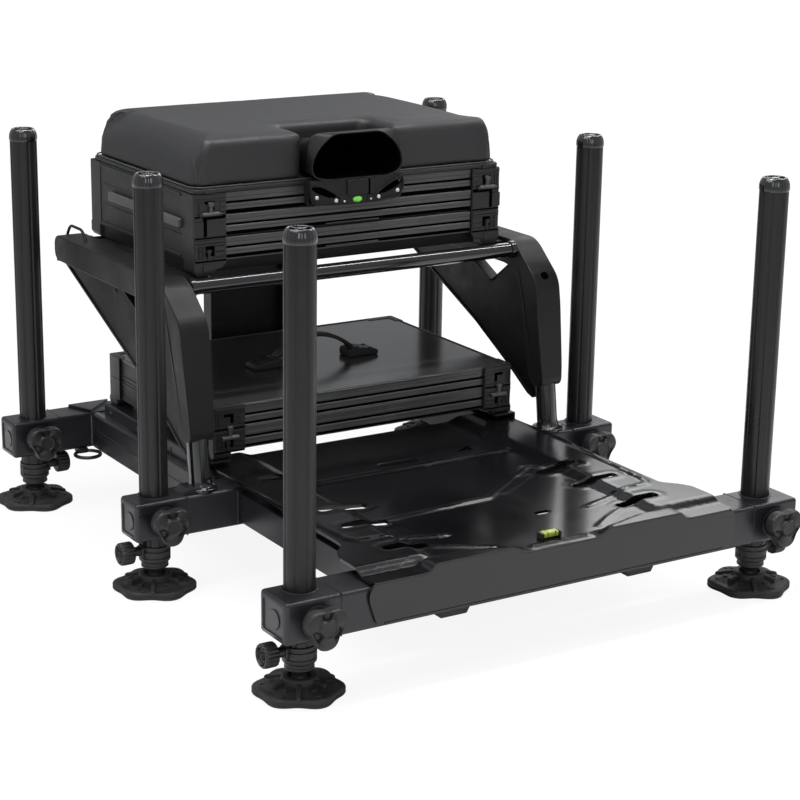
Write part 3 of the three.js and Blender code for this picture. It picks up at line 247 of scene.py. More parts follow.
def hide_grain_group():
    """Pebbled cover of the cushion, with soft stretch wrinkles under it."""
    group, start, end = new_group(
        "hide_grain",
        [("Pebble", "NodeSocketFloat", 620.0), ("Wrinkle", "NodeSocketFloat", 0.5)],
        [("Height", "NodeSocketFloat")],
    )
    nodes, links = group.nodes, group.links
    place = nodes.new("ShaderNodeTexCoord")
    warp = add_node(nodes, "ShaderNodeTexNoise", Scale=90.0)
    links.new(place.outputs["Object"], warp.inputs["Vector"])
    shift = add_node(nodes, "ShaderNodeMixRGB", Fac=0.004)
    links.new(place.outputs["Object"], shift.inputs["Color1"])
    links.new(warp.outputs["Color"], shift.inputs["Color2"])
    cells = nodes.new("ShaderNodeTexVoronoi")
    cells.feature = "SMOOTH_F1"
    links.new(shift.outputs["Color"], cells.inputs["Vector"])
    links.new(start.outputs["Pebble"], cells.inputs["Scale"])
    creases = add_node(nodes, "ShaderNodeMapRange", From_Min=0.25, From_Max=0.62)
    links.new(cells.outputs["Distance"], creases.inputs["Value"])
    broad = add_node(nodes, "ShaderNodeTexNoise", Scale=14.0, Detail=3.0)
    links.new(place.outputs["Object"], broad.inputs["Vector"])
    soft = math_node(nodes, links, "MULTIPLY", broad.outputs["Fac"], start.outputs["Wrinkle"])
    raised = math_node(nodes, links, "SUBTRACT", soft, creases.outputs["Result"])
    links.new(raised, end.inputs["Height"])
    return group


def drawn_lines_group():
    """Fine lines along one direction, as extruded and brushed metal has."""
    group, start, end = new_group(
        "drawn_lines",
        [("Lines", "NodeSocketVector", (600.0, 600.0, 5.0))],
        [("Height", "NodeSocketFloat")],
    )
    nodes, links = group.nodes, group.links
    place = nodes.new("ShaderNodeTexCoord")
    pull = nodes.new("ShaderNodeVectorMath")
    pull.operation = "MULTIPLY"
    links.new(place.outputs["Object"], pull.inputs[0])
    links.new(start.outputs["Lines"], pull.inputs[1])
    thin = add_node(nodes, "ShaderNodeTexNoise", Scale=1.0, Detail=5.0, Roughness=0.7)
    links.new(pull.outputs["Vector"], thin.inputs["Vector"])
    links.new(thin.outputs["Fac"], end.inputs["Height"])
    return group


GRAIN = moulded_grain_group()
MARKS = handling_group()
HIDE = hide_grain_group()
LINES = drawn_lines_group()


def placed_group(nodes, group, **values):
    node = nodes.new("ShaderNodeGroup")
    node.node_tree = group
    return set_inputs(node, values)


def grain(size, pits):
    """Texture of a finish: moulded grain of a given fineness and depth of pits."""
    return lambda nodes: placed_group(nodes, GRAIN, Grain=size, Pits=pits)


def lines(*stretch):
    """Texture of a finish: drawn lines, fine across the larger stretches."""
    return lambda nodes: placed_group(nodes, LINES, Lines=stretch)


def finish(name, dark, pale, roughness, metallic=0.0, coat=0.0, specular=0.5, relief=(0.15, 0.0002),
           texture=None, marks=(9.0, 0.3), spread=0.12):
    """A material from a dark and a rubbed colour, a roughness and its own relief."""
    material = bpy.data.materials.new(name)
    material.use_nodes = True
    nodes, links = material.node_tree.nodes, material.node_tree.links
    shader = set_inputs(nodes["Principled BSDF"], {"Metallic": metallic, "Coat Weight": coat,
                                                   "Coat Roughness": 0.12, "Specular IOR Level": specular})
    wear = placed_group(nodes, MARKS, Patch_size=marks[0], Streaks=marks[1])
    tint = add_node(nodes, "ShaderNodeMixRGB", Color1=(*dark, 1), Color2=(*pale, 1))
    links.new(wear.outputs["Marks"], tint.inputs["Fac"])
    links.new(tint.outputs["Color"], shader.inputs["Base Color"])
    rough = add_node(nodes, "ShaderNodeMapRange", To_Min=max(roughness - spread, 0.03),
                     To_Max=min(roughness + spread, 1.0))
    links.new(wear.outputs["Marks"], rough.inputs["Value"])
    links.new(rough.outputs["Result"], shader.inputs["Roughness"])
    surface = texture(nodes) if texture else placed_group(nodes, GRAIN)
    bump = add_node(nodes, "ShaderNodeBump", Strength=relief[0], Distance=relief[1])
    links.new(surface.outputs["Height"], bump.inputs["Height"])
    links.new(bump.outputs["Normal"], shader.inputs["Normal"])
    return material


# Finishes: dark colour, rubbed colour, roughness. They are shades of black, told apart by gloss and grain.
ANODISED = finish("anodised_tube", (0.0095, 0.0095, 0.01), (0.017, 0.017, 0.018), 0.36, metallic=0.25,
                  relief=(0.12, 0.0002), texture=lines(700, 700, 6))
COATED = finish("powder_coat", (0.0085, 0.0085, 0.011), (0.015, 0.015, 0.0185), 0.34, specular=0.55,
                relief=(0.18, 0.0002), texture=grain(1300.0, 0.2))
MOULDED = finish("moulded_nylon", (0.0105, 0.0105, 0.0105), (0.02, 0.02, 0.02), 0.46,
                 relief=(0.3, 0.0002), texture=grain(1500.0, 0.5))
GLOSS = finish("gloss_enamel", (0.0025, 0.0025, 0.003), (0.0045, 0.0045, 0.0055), 0.2, coat=0.2,
               relief=(0.025, 0.0003), texture=grain(260.0, 0.1), marks=(6.0, 0.1), spread=0.07)
CAST = finish("cast_cover", (0.0045, 0.0045, 0.005), (0.009, 0.009, 0.0098), 0.46, specular=0.35,
              relief=(0.2, 0.0002), texture=grain(1100.0, 0.3), marks=(14.0, 0.3))
# dark cast grey of the brackets' webs; also the panels of painted shade under the seat unit
WEB_AND_SHADE = finish("cast_web_and_shade", (0.0035, 0.0035, 0.0037), (0.007, 0.007, 0.0075), 0.5, specular=0.35,
             relief=(0.35, 0.0003), texture=grain(800.0, 0.5), marks=(20.0, 0.2))
# near-black and nearly without gloss, so that it stays dark under the lamps: painted shade in gaps, slots, the
# hood's throat and the bolt hole
PAINTED_SHADE = finish("painted_shade_black", (0.0006, 0.0006, 0.0006), (0.001, 0.001, 0.001), 0.9, specular=0.02, spread=0.05)
RIBBED = finish("grooved_extrusion", (0.048, 0.048, 0.0485), (0.086, 0.086, 0.087), 0.42, specular=0.6,
                relief=(0.14, 0.0002), texture=lines(6, 700, 700))
RUBBER = finish("mud_rubber", (0.009, 0.009, 0.009), (0.026, 0.025, 0.024), 0.62,
                relief=(0.45, 0.0004), texture=grain(700.0, 0.8), marks=(22.0, 0.4))
# lighter satin grey: the cassette lid's top sheet, and painted highlights along the side rails
SATIN_AND_HIGHLIGHT = finish("satin_sheet_and_highlight", (0.04, 0.04, 0.0405), (0.047, 0.047, 0.048), 0.18, specular=0.75,
               relief=(0.03, 0.0001), texture=grain(1700.0, 0.2), marks=(3.0, 0.0), spread=0.015)
LEATHER = finish("cushion_cover", (0.014, 0.014, 0.0152), (0.0215, 0.0215, 0.0228), 0.5, specular=0.55,
                 relief=(0.26, 0.0004), marks=(5.0, 0.1),
                 texture=lambda nodes: placed_group(nodes, HIDE, Pebble=700.0, Wrinkle=0.5))
STEEL = finish("screw_steel", (0.6, 0.6, 0.6), (0.85, 0.85, 0.85), 0.3, metallic=0.35)
THREAD = finish("seam_thread", (0.035, 0.035, 0.036), (0.06, 0.06, 0.061), 0.5)
TUBE = finish("gloss_tube", (0.004, 0.004, 0.005), (0.008, 0.008, 0.009), 0.14, coat=0.8, specular=0.6,
              relief=(0.05, 0.0002), marks=(12.0, 0.4), spread=0.06)
GREEN = finish("vial_green", (0.1, 0.6, 0.03), (0.3, 0.9, 0.12), 0.1, coat=0.6, marks=(120.0, 0.0))
YELLOW = finish("vial_yellow", (0.28, 0.36, 0.03), (0.5, 0.6, 0.1), 0.12, coat=0.6, marks=(120.0, 0.0))


# ---------------------------------------------------------------- making tools

PUT = {
    "x": lambda u, v, w: (w, u, v),
    "y": lambda u, v, w: (u, w, v),
    "z": lambda u, v, w: (u, v, w),
}


def points_in(grown):
    return [item for item in grown["geom"] if isinstance(item, bmesh.types.BMVert)]


def edges_in(grown):
    return [item for item in grown["geom"] if isinstance(item, bmesh.types.BMEdge)]


def bevelled(bm, edges, width, segments, clamp=True):
    """Rounds the given edges by a width in millimetres."""
    bmesh.ops.bevel(bm, geom=edges, offset=width * MM, offset_type="OFFSET", segments=segments,
                    profile=0.5, affect="EDGES", clamp_overlap=clamp, material=-1)


def soften(bm, width, segments=2, angle=30.0, choose=None):
    """Rounds the edges sharper than an angle in degrees, all of them or the chosen ones."""
    limit = math.radians(angle)
    edges = [e for e in bm.edges if len(e.link_faces) == 2 and e.calc_face_angle(0.0) > limit
             and (choose is None or choose(e))]
    bevelled(bm, edges, width, segments)


def extruded(axis, outline, low, high, bevel=0.0, segments=2, angle=30.0):
    """An outline pushed along an axis: (y, z) for x, (x, z) for y, (x, y) for z."""
    bm = bmesh.new()
    face = bm.faces.new([bm.verts.new(Vector(PUT[axis](u, v, low)) * MM) for u, v in outline])
    grown = bmesh.ops.extrude_face_region(bm, geom=[face])
    bmesh.ops.translate(bm, verts=points_in(grown), vec=Vector(PUT[axis](0, 0, high - low)) * MM)
    bmesh.ops.recalc_face_normals(bm, faces=bm.faces[:])
    if bevel:
        soften(bm, bevel, segments, angle)
    return bm


def block(x0, x1, y0, y1, z0, z1, bevel=1.0, segments=2):
    """A box with rounded edges; each pair of limits may come in either order."""
    x0, x1 = sorted((x0, x1))
    y0, y1 = sorted((y0, y1))
    return extruded("z", [(x0, y0), (x1, y0), (x1, y1), (x0, y1)], z0, z1, bevel, segments)


def turned(profile, steps=48, centre=(0, 0, 0), axis="z", shape=None):
    """A profile of (radius, height) spun round an axis; shape may move each (radius, turn, height)."""
    bm = bmesh.new()
    verts = [bm.verts.new((r * MM, 0, h * MM)) for r, h in profile]
    edges = [bm.edges.new(pair) for pair in zip(verts, verts[1:])]
    bmesh.ops.spin(bm, geom=verts + edges, cent=(0, 0, 0), axis=(0, 0, 1), angle=2 * math.pi,
                   steps=steps, use_merge=True)
    bmesh.ops.remove_doubles(bm, verts=bm.verts[:], dist=1e-6)
    bmesh.ops.recalc_face_normals(bm, faces=bm.faces[:])
    if shape:
        for v in bm.verts:
            radius, turn = math.hypot(v.co.x, v.co.y) / MM, math.atan2(v.co.y, v.co.x)
            radius, height = shape(radius, turn, v.co.z / MM)
            v.co = Vector((radius * math.cos(turn), radius * math.sin(turn), height)) * MM
    lay = {"z": Matrix.Identity(4), "x": Matrix.Rotation(math.pi / 2, 4, "Y"),
           "y": Matrix.Rotation(-math.pi / 2, 4, "X")}[axis]
    bmesh.ops.transform(bm, matrix=Matrix.Translation(Vector(centre) * MM) @ lay, verts=bm.verts[:])
    return bm


def swept(section, stations):
    """A closed section of (u, v) carried through stations, each a matrix in millimetres."""
    bm = bmesh.new()
    scale = Matrix.Scale(MM, 4)
    first = [bm.verts.new(scale @ stations[0] @ Vector((u, v, 0))) for u, v in section]
    edges = [bm.edges.new((first[i], first[(i + 1) % len(first)])) for i in range(len(first))]
    bm.faces.new(first)
    for before, after in zip(stations, stations[1:]):
        grown = bmesh.ops.extrude_edge_only(bm, edges=edges)
        step = scale @ after @ before.inverted() @ scale.inverted()
        bmesh.ops.transform(bm, matrix=step, verts=points_in(grown))
        edges = [e for e in edges_in(grown) if len(e.link_faces) == 1]
    bmesh.ops.contextual_create(bm, geom=edges)
    bmesh.ops.recalc_face_normals(bm, faces=bm.faces[:])
    return bm


def circle(radius, count):
    """A round outline for sweeping."""
    turns = [2 * math.pi * i / count for i in range(count)]
    return [(radius * math.cos(turn), radius * math.sin(turn)) for turn in turns]


def along(points, up=(1, 0, 0)):
    """Stations at points, each facing along the path, with their first direction nearest up."""
    points = [Vector(p) for p in points]
    out = []
    for i, p in enumerate(points):
        ahead = (points[min(i + 1, len(points) - 1)] - points[max(i - 1, 0)]).normalized()
        near = Vector(up) if abs(Vector(up).dot(ahead)) < 0.98 else Vector((up[1], up[2], up[0]))
        first = (near - ahead * near.dot(ahead)).normalized()
        second = ahead.cross(first)
        out.append(Matrix.Translation(p) @ Matrix((first, second, ahead)).transposed().to_4x4())
    return out


def laid(bm, centre, turn, axis="Z"):
    """Turns a shape made at the origin by an angle in radians and carries it to its centre."""
    lay = Matrix.Translation(Vector(centre) * MM) @ Matrix.Rotation(turn, 4, axis)
    bmesh.ops.transform(bm, matrix=lay, verts=bm.verts[:])
    return bm


def drawn(loops, place):
    """Closed loops of edges, with place saying where each (u, v) of an outline lies."""
    bm = bmesh.new()
    for loop in loops:
        verts = [bm.verts.new([c * MM for c in place(u, v)]) for u, v in loop]
        for a, b in zip(verts, verts[1:] + verts[:1]):
            bm.edges.new((a, b))
    return bm


def thickened(bm, step):
    """Gives a sheet its second face, a step away in millimetres, and closes it round the rims."""
    grown = bmesh.ops.extrude_face_region(bm, geom=bm.faces[:], use_keep_orig=True)
    bmesh.ops.translate(bm, verts=points_in(grown), vec=[c * MM for c in step])
    bmesh.ops.recalc_face_normals(bm, faces=bm.faces[:])


def closed_line(outline, level):
    """Stations round a flat outline at one height, past its start so that a sweep closes on itself."""
    return along([(px, py, level) for px, py in outline + outline[:2]], (0, 0, 1))


def joined(*parts):
    """Several closed shapes kept side by side in one mesh."""
    whole = parts[0]
    for part in parts[1:]:
        held = bpy.data.meshes.new("held")
        part.to_mesh(held)
        part.free()
        whole.from_mesh(held)
        bpy.data.meshes.remove(held)
    return whole


def piece(name, bm, body, material, *nodes, crease=38.0, weighted=True):
    """Makes the object, gives it its finish, and hides the solids that it stands for."""
    mesh = bpy.data.meshes.new(name)
    bm.to_mesh(mesh)
    bm.free()
    mesh.shade_smooth()
    mesh.set_sharp_from_angle(angle=math.radians(crease))
    mesh.materials.append(material)
    made = bpy.data.objects.new(name, mesh)
    bpy.context.scene.collection.objects.link(made)
    if weighted:
        even = made.modifiers.new("even_normals", "WEIGHTED_NORMAL")
        even.keep_sharp = True
    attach(made, body)
    if nodes:
        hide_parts(*nodes)
    return made


def rounded(points, radius, steps=5):
    """A closed outline with its corners rounded, by one radius or by a list with one for each corner."""
    out = []
    count = len(points)
    for i, point in enumerate(points):
        before = Vector(points[i - 1]) - Vector(point)
        after = Vector(points[(i + 1) % count]) - Vector(point)
        wanted = radius[i] if isinstance(radius, (list, tuple)) else radius
        reach = min(wanted, before.length * 0.45, after.length * 0.45)
        start = Vector(point) + before.normalized() * reach
        end = Vector(point) + after.normalized() * reach
        for k in range(steps + 1):
            t = k / steps
            out.append(tuple((1 - t) ** 2 * start + 2 * t * (1 - t) * Vector(point) + t ** 2 * end))
    return out


def lofted(rings):
    """A closed skin through rings of equal length, in millimetres, capped at both ends."""
    bm = bmesh.new()
    verts = [bm.verts.new(Vector(p) * MM) for p in rings[0]]
    edges = [bm.edges.new((verts[i], verts[(i + 1) % len(verts)])) for i in range(len(verts))]
    bm.faces.new(verts)
    for ring in rings[1:]:
        grown = bmesh.ops.extrude_edge_only(bm, edges=edges)
        fresh = set(points_in(grown))
        following = []
        for v, p in zip(verts, ring):
            new = next(e.other_vert(v) for e in v.link_edges if e.other_vert(v) in fresh)
            new.co = Vector(p) * MM
            following.append(new)
        verts = following
        edges = [bm.edges.get((verts[i], verts[(i + 1) % len(verts)])) for i in range(len(verts))]
    bm.faces.new(verts)
    bmesh.ops.recalc_face_normals(bm, faces=bm.faces[:])
    return bm


def smooth_step(value):
    """Eases 0 to 1 over arrays."""
    value = np.clip(value, 0.0, 1.0)
    return value * value * (3 - 2 * value)


# ---------------------------------------------------------------- legs, knobs and feet

def leg_axis(row, side):
    """Plan position of a leg in millimetres."""
    return SIDES[side] * LEG_X, ROWS[row]


def outward_of(row, side):
    """Side of the leg that the foot's knob is on: outside, and inside at the rear."""
    return SIDES[side] * (-1 if row == "rear" else 1)


def leg_tube(row, side):
    """Round tube with eight shallow flutes."""
    x, y = leg_axis(row, side)
    outline = []
    for i in range(160):
        turn = 2 * math.pi * i / 160
        flute = max(0.0, math.cos(8 * turn) - 0.72) / 0.28
        radius = LEG_RADIUS - 1.25 * flute
        outline.append((x + radius * math.cos(turn), y + radius * math.sin(turn)))
    tube = extruded("z", outline, 60.0, 516.0)
    piece(f"leg_tube_{row}_{side}", tube, f"leg_{row}_{side}", ANODISED, f"leg_{row}_{side}", crease=50)


def leg_plug(row, side):
    """Hollow ribbed cap in the tube's top, with a cross and a stud inside its rim."""
    x, y = leg_axis(row, side)

    def fine_ribs(radius, turn, height):
        if radius > 14 and 515 < height < 526:
            radius -= 0.6 * max(0.0, math.cos(24 * turn))
        return radius, height

    cap = turned([(0, 512), (18.3, 512), (18.7, 513), (18.7, 517), (18.3, 520.6), (17.2, 523.8), (15.8, 526.2),
                  (14.8, 527.6), (13.8, 528), (12.8, 527.6), (12.3, 526.6), (12.0, 519), (0, 519)],
                 steps=96, centre=(x, y, 0), shape=fine_ribs)
    for turn in (0.35, 0.35 + math.pi / 2):
        cap = joined(cap, laid(block(-12.3, 12.3, -1.7, 1.7, 518.5, 526.9, 0.5, 2), (x, y, 0), turn))
    stud = turned([(0, 518), (4.6, 518), (4.6, 527.0), (4.0, 527.6), (0, 527.8)], 32, (x, y, 0))
    piece(f"leg_plug_{row}_{side}", joined(cap, stud), f"leg_{row}_{side}", TUBE, crease=50)


def clamp_knob(row, side):
    """Three-lobed grip with a pocket in each lobe, a raised hub and a knurled rim."""
    x, face = SIDES[side] * LEG_X, RAIL_FACE[row]

    def lobes(radius, turn, height):
        from_top = math.atan2(math.cos(turn), -math.sin(turn))
        dip = (0.5 + 0.5 * math.cos(3 * from_top)) ** 1.5
        reach = radius / 26.0
        across, up = radius * math.cos(turn), radius * math.sin(turn)
        if height < -24 and 8.4 < radius < 25:
            for i in range(3):
                lobe = math.pi / 3 * (1 + 2 * i)
                away = math.hypot(across + 17.2 * math.sin(lobe), up - 17.2 * math.cos(lobe))
                height += 4.2 * max(0.0, min(1.0, (7.6 - away) / 3.0))
        if reach > 0.42:
            radius -= 7.2 * dip * reach ** 2
            if height < -24:
                height += 4.4 * math.sin(min(1.0, max(0.0, reach - 0.42) / 0.5) * math.pi) * dip
            if reach > 0.9:
                radius += 0.3 * math.cos(60 * turn)
        return radius, height

    profile = [(0, -1), (12, -0.4), (12, -9), (14, -10), (21, -10.2), (24.4, -11), (25.8, -12.6),
               (26.2, -15), (26.2, -21.4), (25.8, -24.0), (24.8, -25.8), (23.4, -26.7), (21.8, -27.0),
               (20.6, -27.1), (19.4, -27.2), (18.2, -27.3), (17.0, -27.3), (15.8, -27.4), (14.6, -27.5),
               (13.4, -27.6), (12.2, -28), (11.8, -29.2), (11.2, -29.9), (9.6, -30.2), (8.8, -29.9),
               (8.2, -29.0), (0, -28.6)]
    grip = turned(profile, steps=144, centre=(x, face, CLAMP_LEVEL), axis="y", shape=lobes)
    piece(f"clamp_grip_{row}_{side}", grip, f"clamp_knob_{row}_{side}", MOULDED,
          f"clamp_knob_{row}_{side}", crease=48)


def foot_socket(row, side):
    """Ribbed collar at the leg's lower end, with the ball of the swivel foot under it."""
    x, y = leg_axis(row, side)
    collar = turned([(0, 59.6), (19.4, 59.6), (19.8, 59.2), (19.8, 55.8), (18.7, 55.2), (18.7, 53.6),
                     (19.9, 53.0), (19.9, 46.8), (18.7, 46.2), (18.7, 44.6), (19.8, 44.0), (19.8, 40.2),
                     (18.6, 38.6), (16.8, 37.6), (16.6, 34.0), (17.2, 33.4), (17.2, 31.2), (15.2, 29.8),
                     (12.6, 28.4), (11.4, 26.6), (9.2, 24.2), (8.8, 22.2), (10.2, 19.6), (10.9, 17.0), (11, 15),
                     (10.6, 12), (9, 8.8), (6, 5.8), (0, 4.4)],
                    steps=64, centre=(x, y, 0))
    spigot = turned([(0, 58), (15.2, 58), (15.2, 93), (14.4, 94), (9, 94), (9, 66), (0, 66)], steps=40,
                    centre=(x, y, 0))
    shapes = [collar, spigot]
    # clamp ears either side of the collar's slit, with the nut between
    outward = outward_of(row, side)
    for t in (-1, 1):
        shapes.append(block(x - outward * 6, x - outward * 19.4, y + t * 2.2, y + t * 6.4, 42.0, 57.5, 1.0, 2))
    shapes.append(block(x + outward * 12, x + outward * 21.5, y - 7.5, y + 7.5, 44.5, 58.5, 1.6, 2))
    piece(f"foot_collar_{row}_{side}", joined(*shapes), f"leg_{row}_{side}", MOULDED,
          f"foot_socket_{row}_{side}", crease=40)


def foot_knob(row, side):
    """Small round grip on its screw, with a scalloped rim and a dished face."""
    outward = outward_of(row, side)
    x, y = leg_axis(row, side)

    def scallops(radius, turn, height):
        if abs(height) > 31.5 and radius > 13.2:
            radius -= 1.1 * max(0.0, math.cos(18 * turn)) ** 0.7
        if abs(height) > 45 and 2.0 < radius < 11.0:
            height -= math.copysign(1.6 * (0.5 + 0.5 * math.cos(6 * turn)), height)
        return radius, height

    profile = [(0, 12), (3.4, 12), (3.4, 18), (6.0, 19.8), (6.0, 30.5), (9, 31.2), (12.6, 31.4), (13.9, 32.0),
               (14.4, 33.4), (14.5, 40.0), (14.5, 45.4), (13.9, 47.6), (12.6, 48.7), (11.2, 49.0), (10.6, 48.2),
               (9.8, 46.6), (7.0, 46.4), (4.6, 46.4), (3.8, 48.2), (2.4, 48.6), (0, 48.6)]
    grip = turned([(r, outward * h) for r, h in profile], steps=108, centre=(x, y, 53), axis="x",
                  shape=scallops)
    piece(f"foot_grip_{row}_{side}", grip, f"foot_knob_{row}_{side}", MOULDED,
          f"foot_knob_{row}_{side}", crease=44)


def mud_foot(row, side):
    """Lobed rubber disc with fins and tread blocks round the cup of the swivel."""
    x, y = leg_axis(row, side)
    sixth = math.pi / 3

    def lobes(radius, turn, height):
        lobe = 0.5 - 0.5 * math.cos(6 * (turn - math.pi / 6))
        if radius > 21:
            share = (radius - 21) / 33.0
            # lobes alternate between a broad and a narrow one
            odd = 0.5 + 0.5 * math.cos(3 * turn + 0.6)
            radius -= (6.2 * lobe + 2.6 * odd) * share
            if height > 2.5:
                height += 2.2 * math.sin(min(1.0, share) * math.pi) * (0.5 - 0.5 * math.cos(6 * turn))
        return radius, height

    disc = turned([(0, 3.8), (6, 2.6), (9, 1.2), (10.5, 0.0), (51.2, 0.0), (53.2, 0.6), (54, 1.8), (54, 3.4),
                   (53.2, 4.0), (53.2, 4.8), (54, 5.4), (54, 7.2), (53.2, 8.6), (51.6, 9.4), (49.4, 9.6),
                   (46, 9.2), (42, 9.4), (38, 10.4), (33, 11.6), (28.5, 12.8), (25, 13.8), (22.4, 14.8),
                   (21.2, 16), (20.8, 19.0), (20.2, 21.0), (19.2, 21.9), (17.4, 22), (14.2, 21.9),
                   (13.2, 21.2), (12.3, 17), (11.7, 12), (10, 8), (6, 5), (0, 3.9)],
                  steps=144, centre=(x, y, 0), shape=lobes)
    shapes = [disc]
    for i in range(6):
        length = 45.0 if i % 2 == 0 else 34.0
        fin = extruded("x", [(-3.6, 3.4), (3.6, 3.4), (2.8, 20.0), (-2.8, 20.0)], 16.5, length, 1.0, 2)
        # the fin's top slopes down with the disc
        for v in fin.verts:
            away = max(0.0, (v.co.x / MM - 24.0) / 21.0)
            if v.co.z > 0.012:
                v.co.z -= 8.8 * MM * away ** 1.3
        shapes.append(laid(fin, (x, y, 0), i * sixth))
        # tread blocks moulded between the fins
        for reach, wide in ((31.0, 7.0), (41.0, 9.0)):
            top = 15.6 - (reach - 31.0) * 0.30
            knob = block(reach - 3.0, reach + 3.0, -wide / 2, wide / 2, 6.0, top, 1.2, 2)
            shapes.append(laid(knob, (x, y, 0), (i + 0.5) * sixth))
    piece(f"mud_foot_{row}_{side}", joined(*shapes), f"foot_pad_{row}_{side}", RUBBER, f"foot_pad_{row}_{side}",
          crease=44)


# ---------------------------------------------------------------- platform

def sunk_ends(bm, reach, border, depth):
    """Lowers a panel into both end faces of a rail."""
    for way in (-1, 1):
        ends = [f for f in bm.faces if f.normal.x * way > 0.98 and abs(f.calc_center_median().x / MM) > reach]
        if not ends:
            continue
        bmesh.ops.inset_region(bm, faces=ends, thickness=border * MM, depth=0.0, use_even_offset=True)
        bmesh.ops.inset_region(bm, faces=ends, thickness=0.9 * MM, depth=-depth * MM, use_even_offset=True)


def bead(points, radius=1.6):
    """A weld laid along points, with its ripples."""
    path = [Vector(p) for p in points]
    length = sum((b - a).length for a, b in zip(path, path[1:]))
    count = max(12, int(length / 1.7))
    stations, scales = [], []
    for k in range(count + 1):
        left = length * k / count
        for a, b in zip(path, path[1:]):
            if left <= (b - a).length or b is path[-1]:
                stations.append(a.lerp(b, min(1.0, left / (b - a).length)))
                break
            left -= (b - a).length
        scales.append(1.0 + 0.16 * math.cos(2.6 * k))
    frames = along(stations, (0, 0, 1))
    frames = [m @ Matrix.Scale(s, 4) for m, s in zip(frames, scales)]
    return swept(circle(radius, 8), frames)


def leg_collar(row, side, level):
    """Low ring of the leg clamp on a rail's upper face."""
    return turned([(18.2, level - 1), (20.6, level - 1), (20.6, level + 0.5), (20.0, level + 0.9),
                   (18.9, level + 0.9), (18.4, level + 0.5), (18.2, level - 1)], steps=56,
                  centre=(SIDES[side] * LEG_X, ROWS[row], 0))


def cross_rail(row):
    """A rail across the platform, with its cast ends that grip the legs."""
    front, back = RAIL_FACE[row], RAIL_BACK[row]
    beam = extruded("x", [(front, RAIL_LOW), (back, RAIL_LOW), (back, RAIL_HIGH), (front, RAIL_HIGH)],
                    -367, 367, 4.4, 4)
    sunk_ends(beam, 366, 4.0, 1.4)
    shapes = [beam]
    for side, s in SIDES.items():
        shapes.append(leg_collar(row, side, RAIL_HIGH))
        # slit of the cast block that grips the leg
        shapes.append(block(s * 296.4, s * 297.6, front - 0.5, back + 0.5, 73.6, 124.5, 0.5, 1))
        # seat of the clamp knob
        seat = [(0, 0.6), (17.5, 0.6), (18.4, -0.3), (18.4, -1.8), (16.6, -2.6), (0, -2.6)]
        shapes.append(turned(seat, 48, (s * LEG_X, front, CLAMP_LEVEL), "y"))
        # boss on the end of the rail
        end = [(0, 0.5), (11.0, 0.5), (11.6, -0.1), (11.6, -1.2), (0, -1.2)]
        shapes.append(turned([(r, s * h) for r, h in end], 40, (s * 366.4, (front + back) / 2 - 2, CLAMP_LEVEL),
                             "x"))
    return shapes


def front_rail():
    """Rail that carries the front legs and moves with the footplate, with its two bumpers."""
    piece("front_beam", joined(*cross_rail("front")), "footplate", COATED, "front_rail", crease=36)
    for side, s in SIDES.items():
        centre = s * 135
        bump = extruded("y", [(centre - 26, 75), (centre + 26, 75), (centre + 26, 73), (centre + 18, 58.4),
                              (centre - 18, 58.4), (centre - 26, 73)], -390, -364, 2.2, 3)
        lip = block(centre - 29, centre + 29, -393, -361, 71.6, 74.4, 1.0)
        piece(f"bumper_{side}", joined(bump, lip), "footplate", RUBBER, crease=40)


def middle_rail():
    """Rail with ports for the runners and a stop lug."""
    shapes = cross_rail("middle")
    for s in (-1, 1):
        # port frames round the footplate's runners
        for y in (-32.6, 16.0):
            shapes.append(block(s * 196.5, s * 199.2, y - 0.6, y + 1.2, 76, 120, 0.5, 1))
            shapes.append(block(s * 224.8, s * 227.5, y - 0.6, y + 1.2, 76, 120, 0.5, 1))
    # cast stop lug on the top, tapered to its upper face
    lug = extruded("y", [(-300, 123.6), (-262, 123.6), (-268, 131.5), (-294, 131.5)], -26, 2, 1.6, 2)
    shapes.append(lug)
    piece("middle_beam", joined(*shapes), "platform", COATED, "middle_rail", crease=36)


def rear_rail():
    """Rail with the corner gussets, their welds and the two strap rings."""
    shapes = cross_rail("rear")
    for s in (-1, 1):
        outer = s * 267
        gusset = extruded("z", [(outer, 408), (s * 250, 367), (outer - s * 62, 408)], 122.5, 128, 1.2, 2)
        shapes.append(gusset)
        shapes.append(bead([(s * 226, 363.4, 124.2), (s * 250, 363.4, 124.2)]))
        # strap ring of round wire, held in a clip under the corner
        x, y = s * 265, 346.5
        turns = [2 * math.pi * i / 40 for i in range(40)]
        ring = [(x + 17.6 * math.cos(turn), y + 17.6 * math.sin(turn)) for turn in turns]
        shapes.append(swept(circle(2.5, 12), closed_line(ring, 70.4)))
        shapes.append(block(x - 7, x + 7, 360, 378, 67.9, 75.5, 1.4))
        shapes.append(turned([(0, 66.9), (3.4, 66.9), (3.8, 67.4), (3.8, 68.6), (0, 68.6)], 20, (x, 371, 0)))
    piece("rear_beam", joined(*shapes), "platform", COATED, "rear_rail", crease=36)


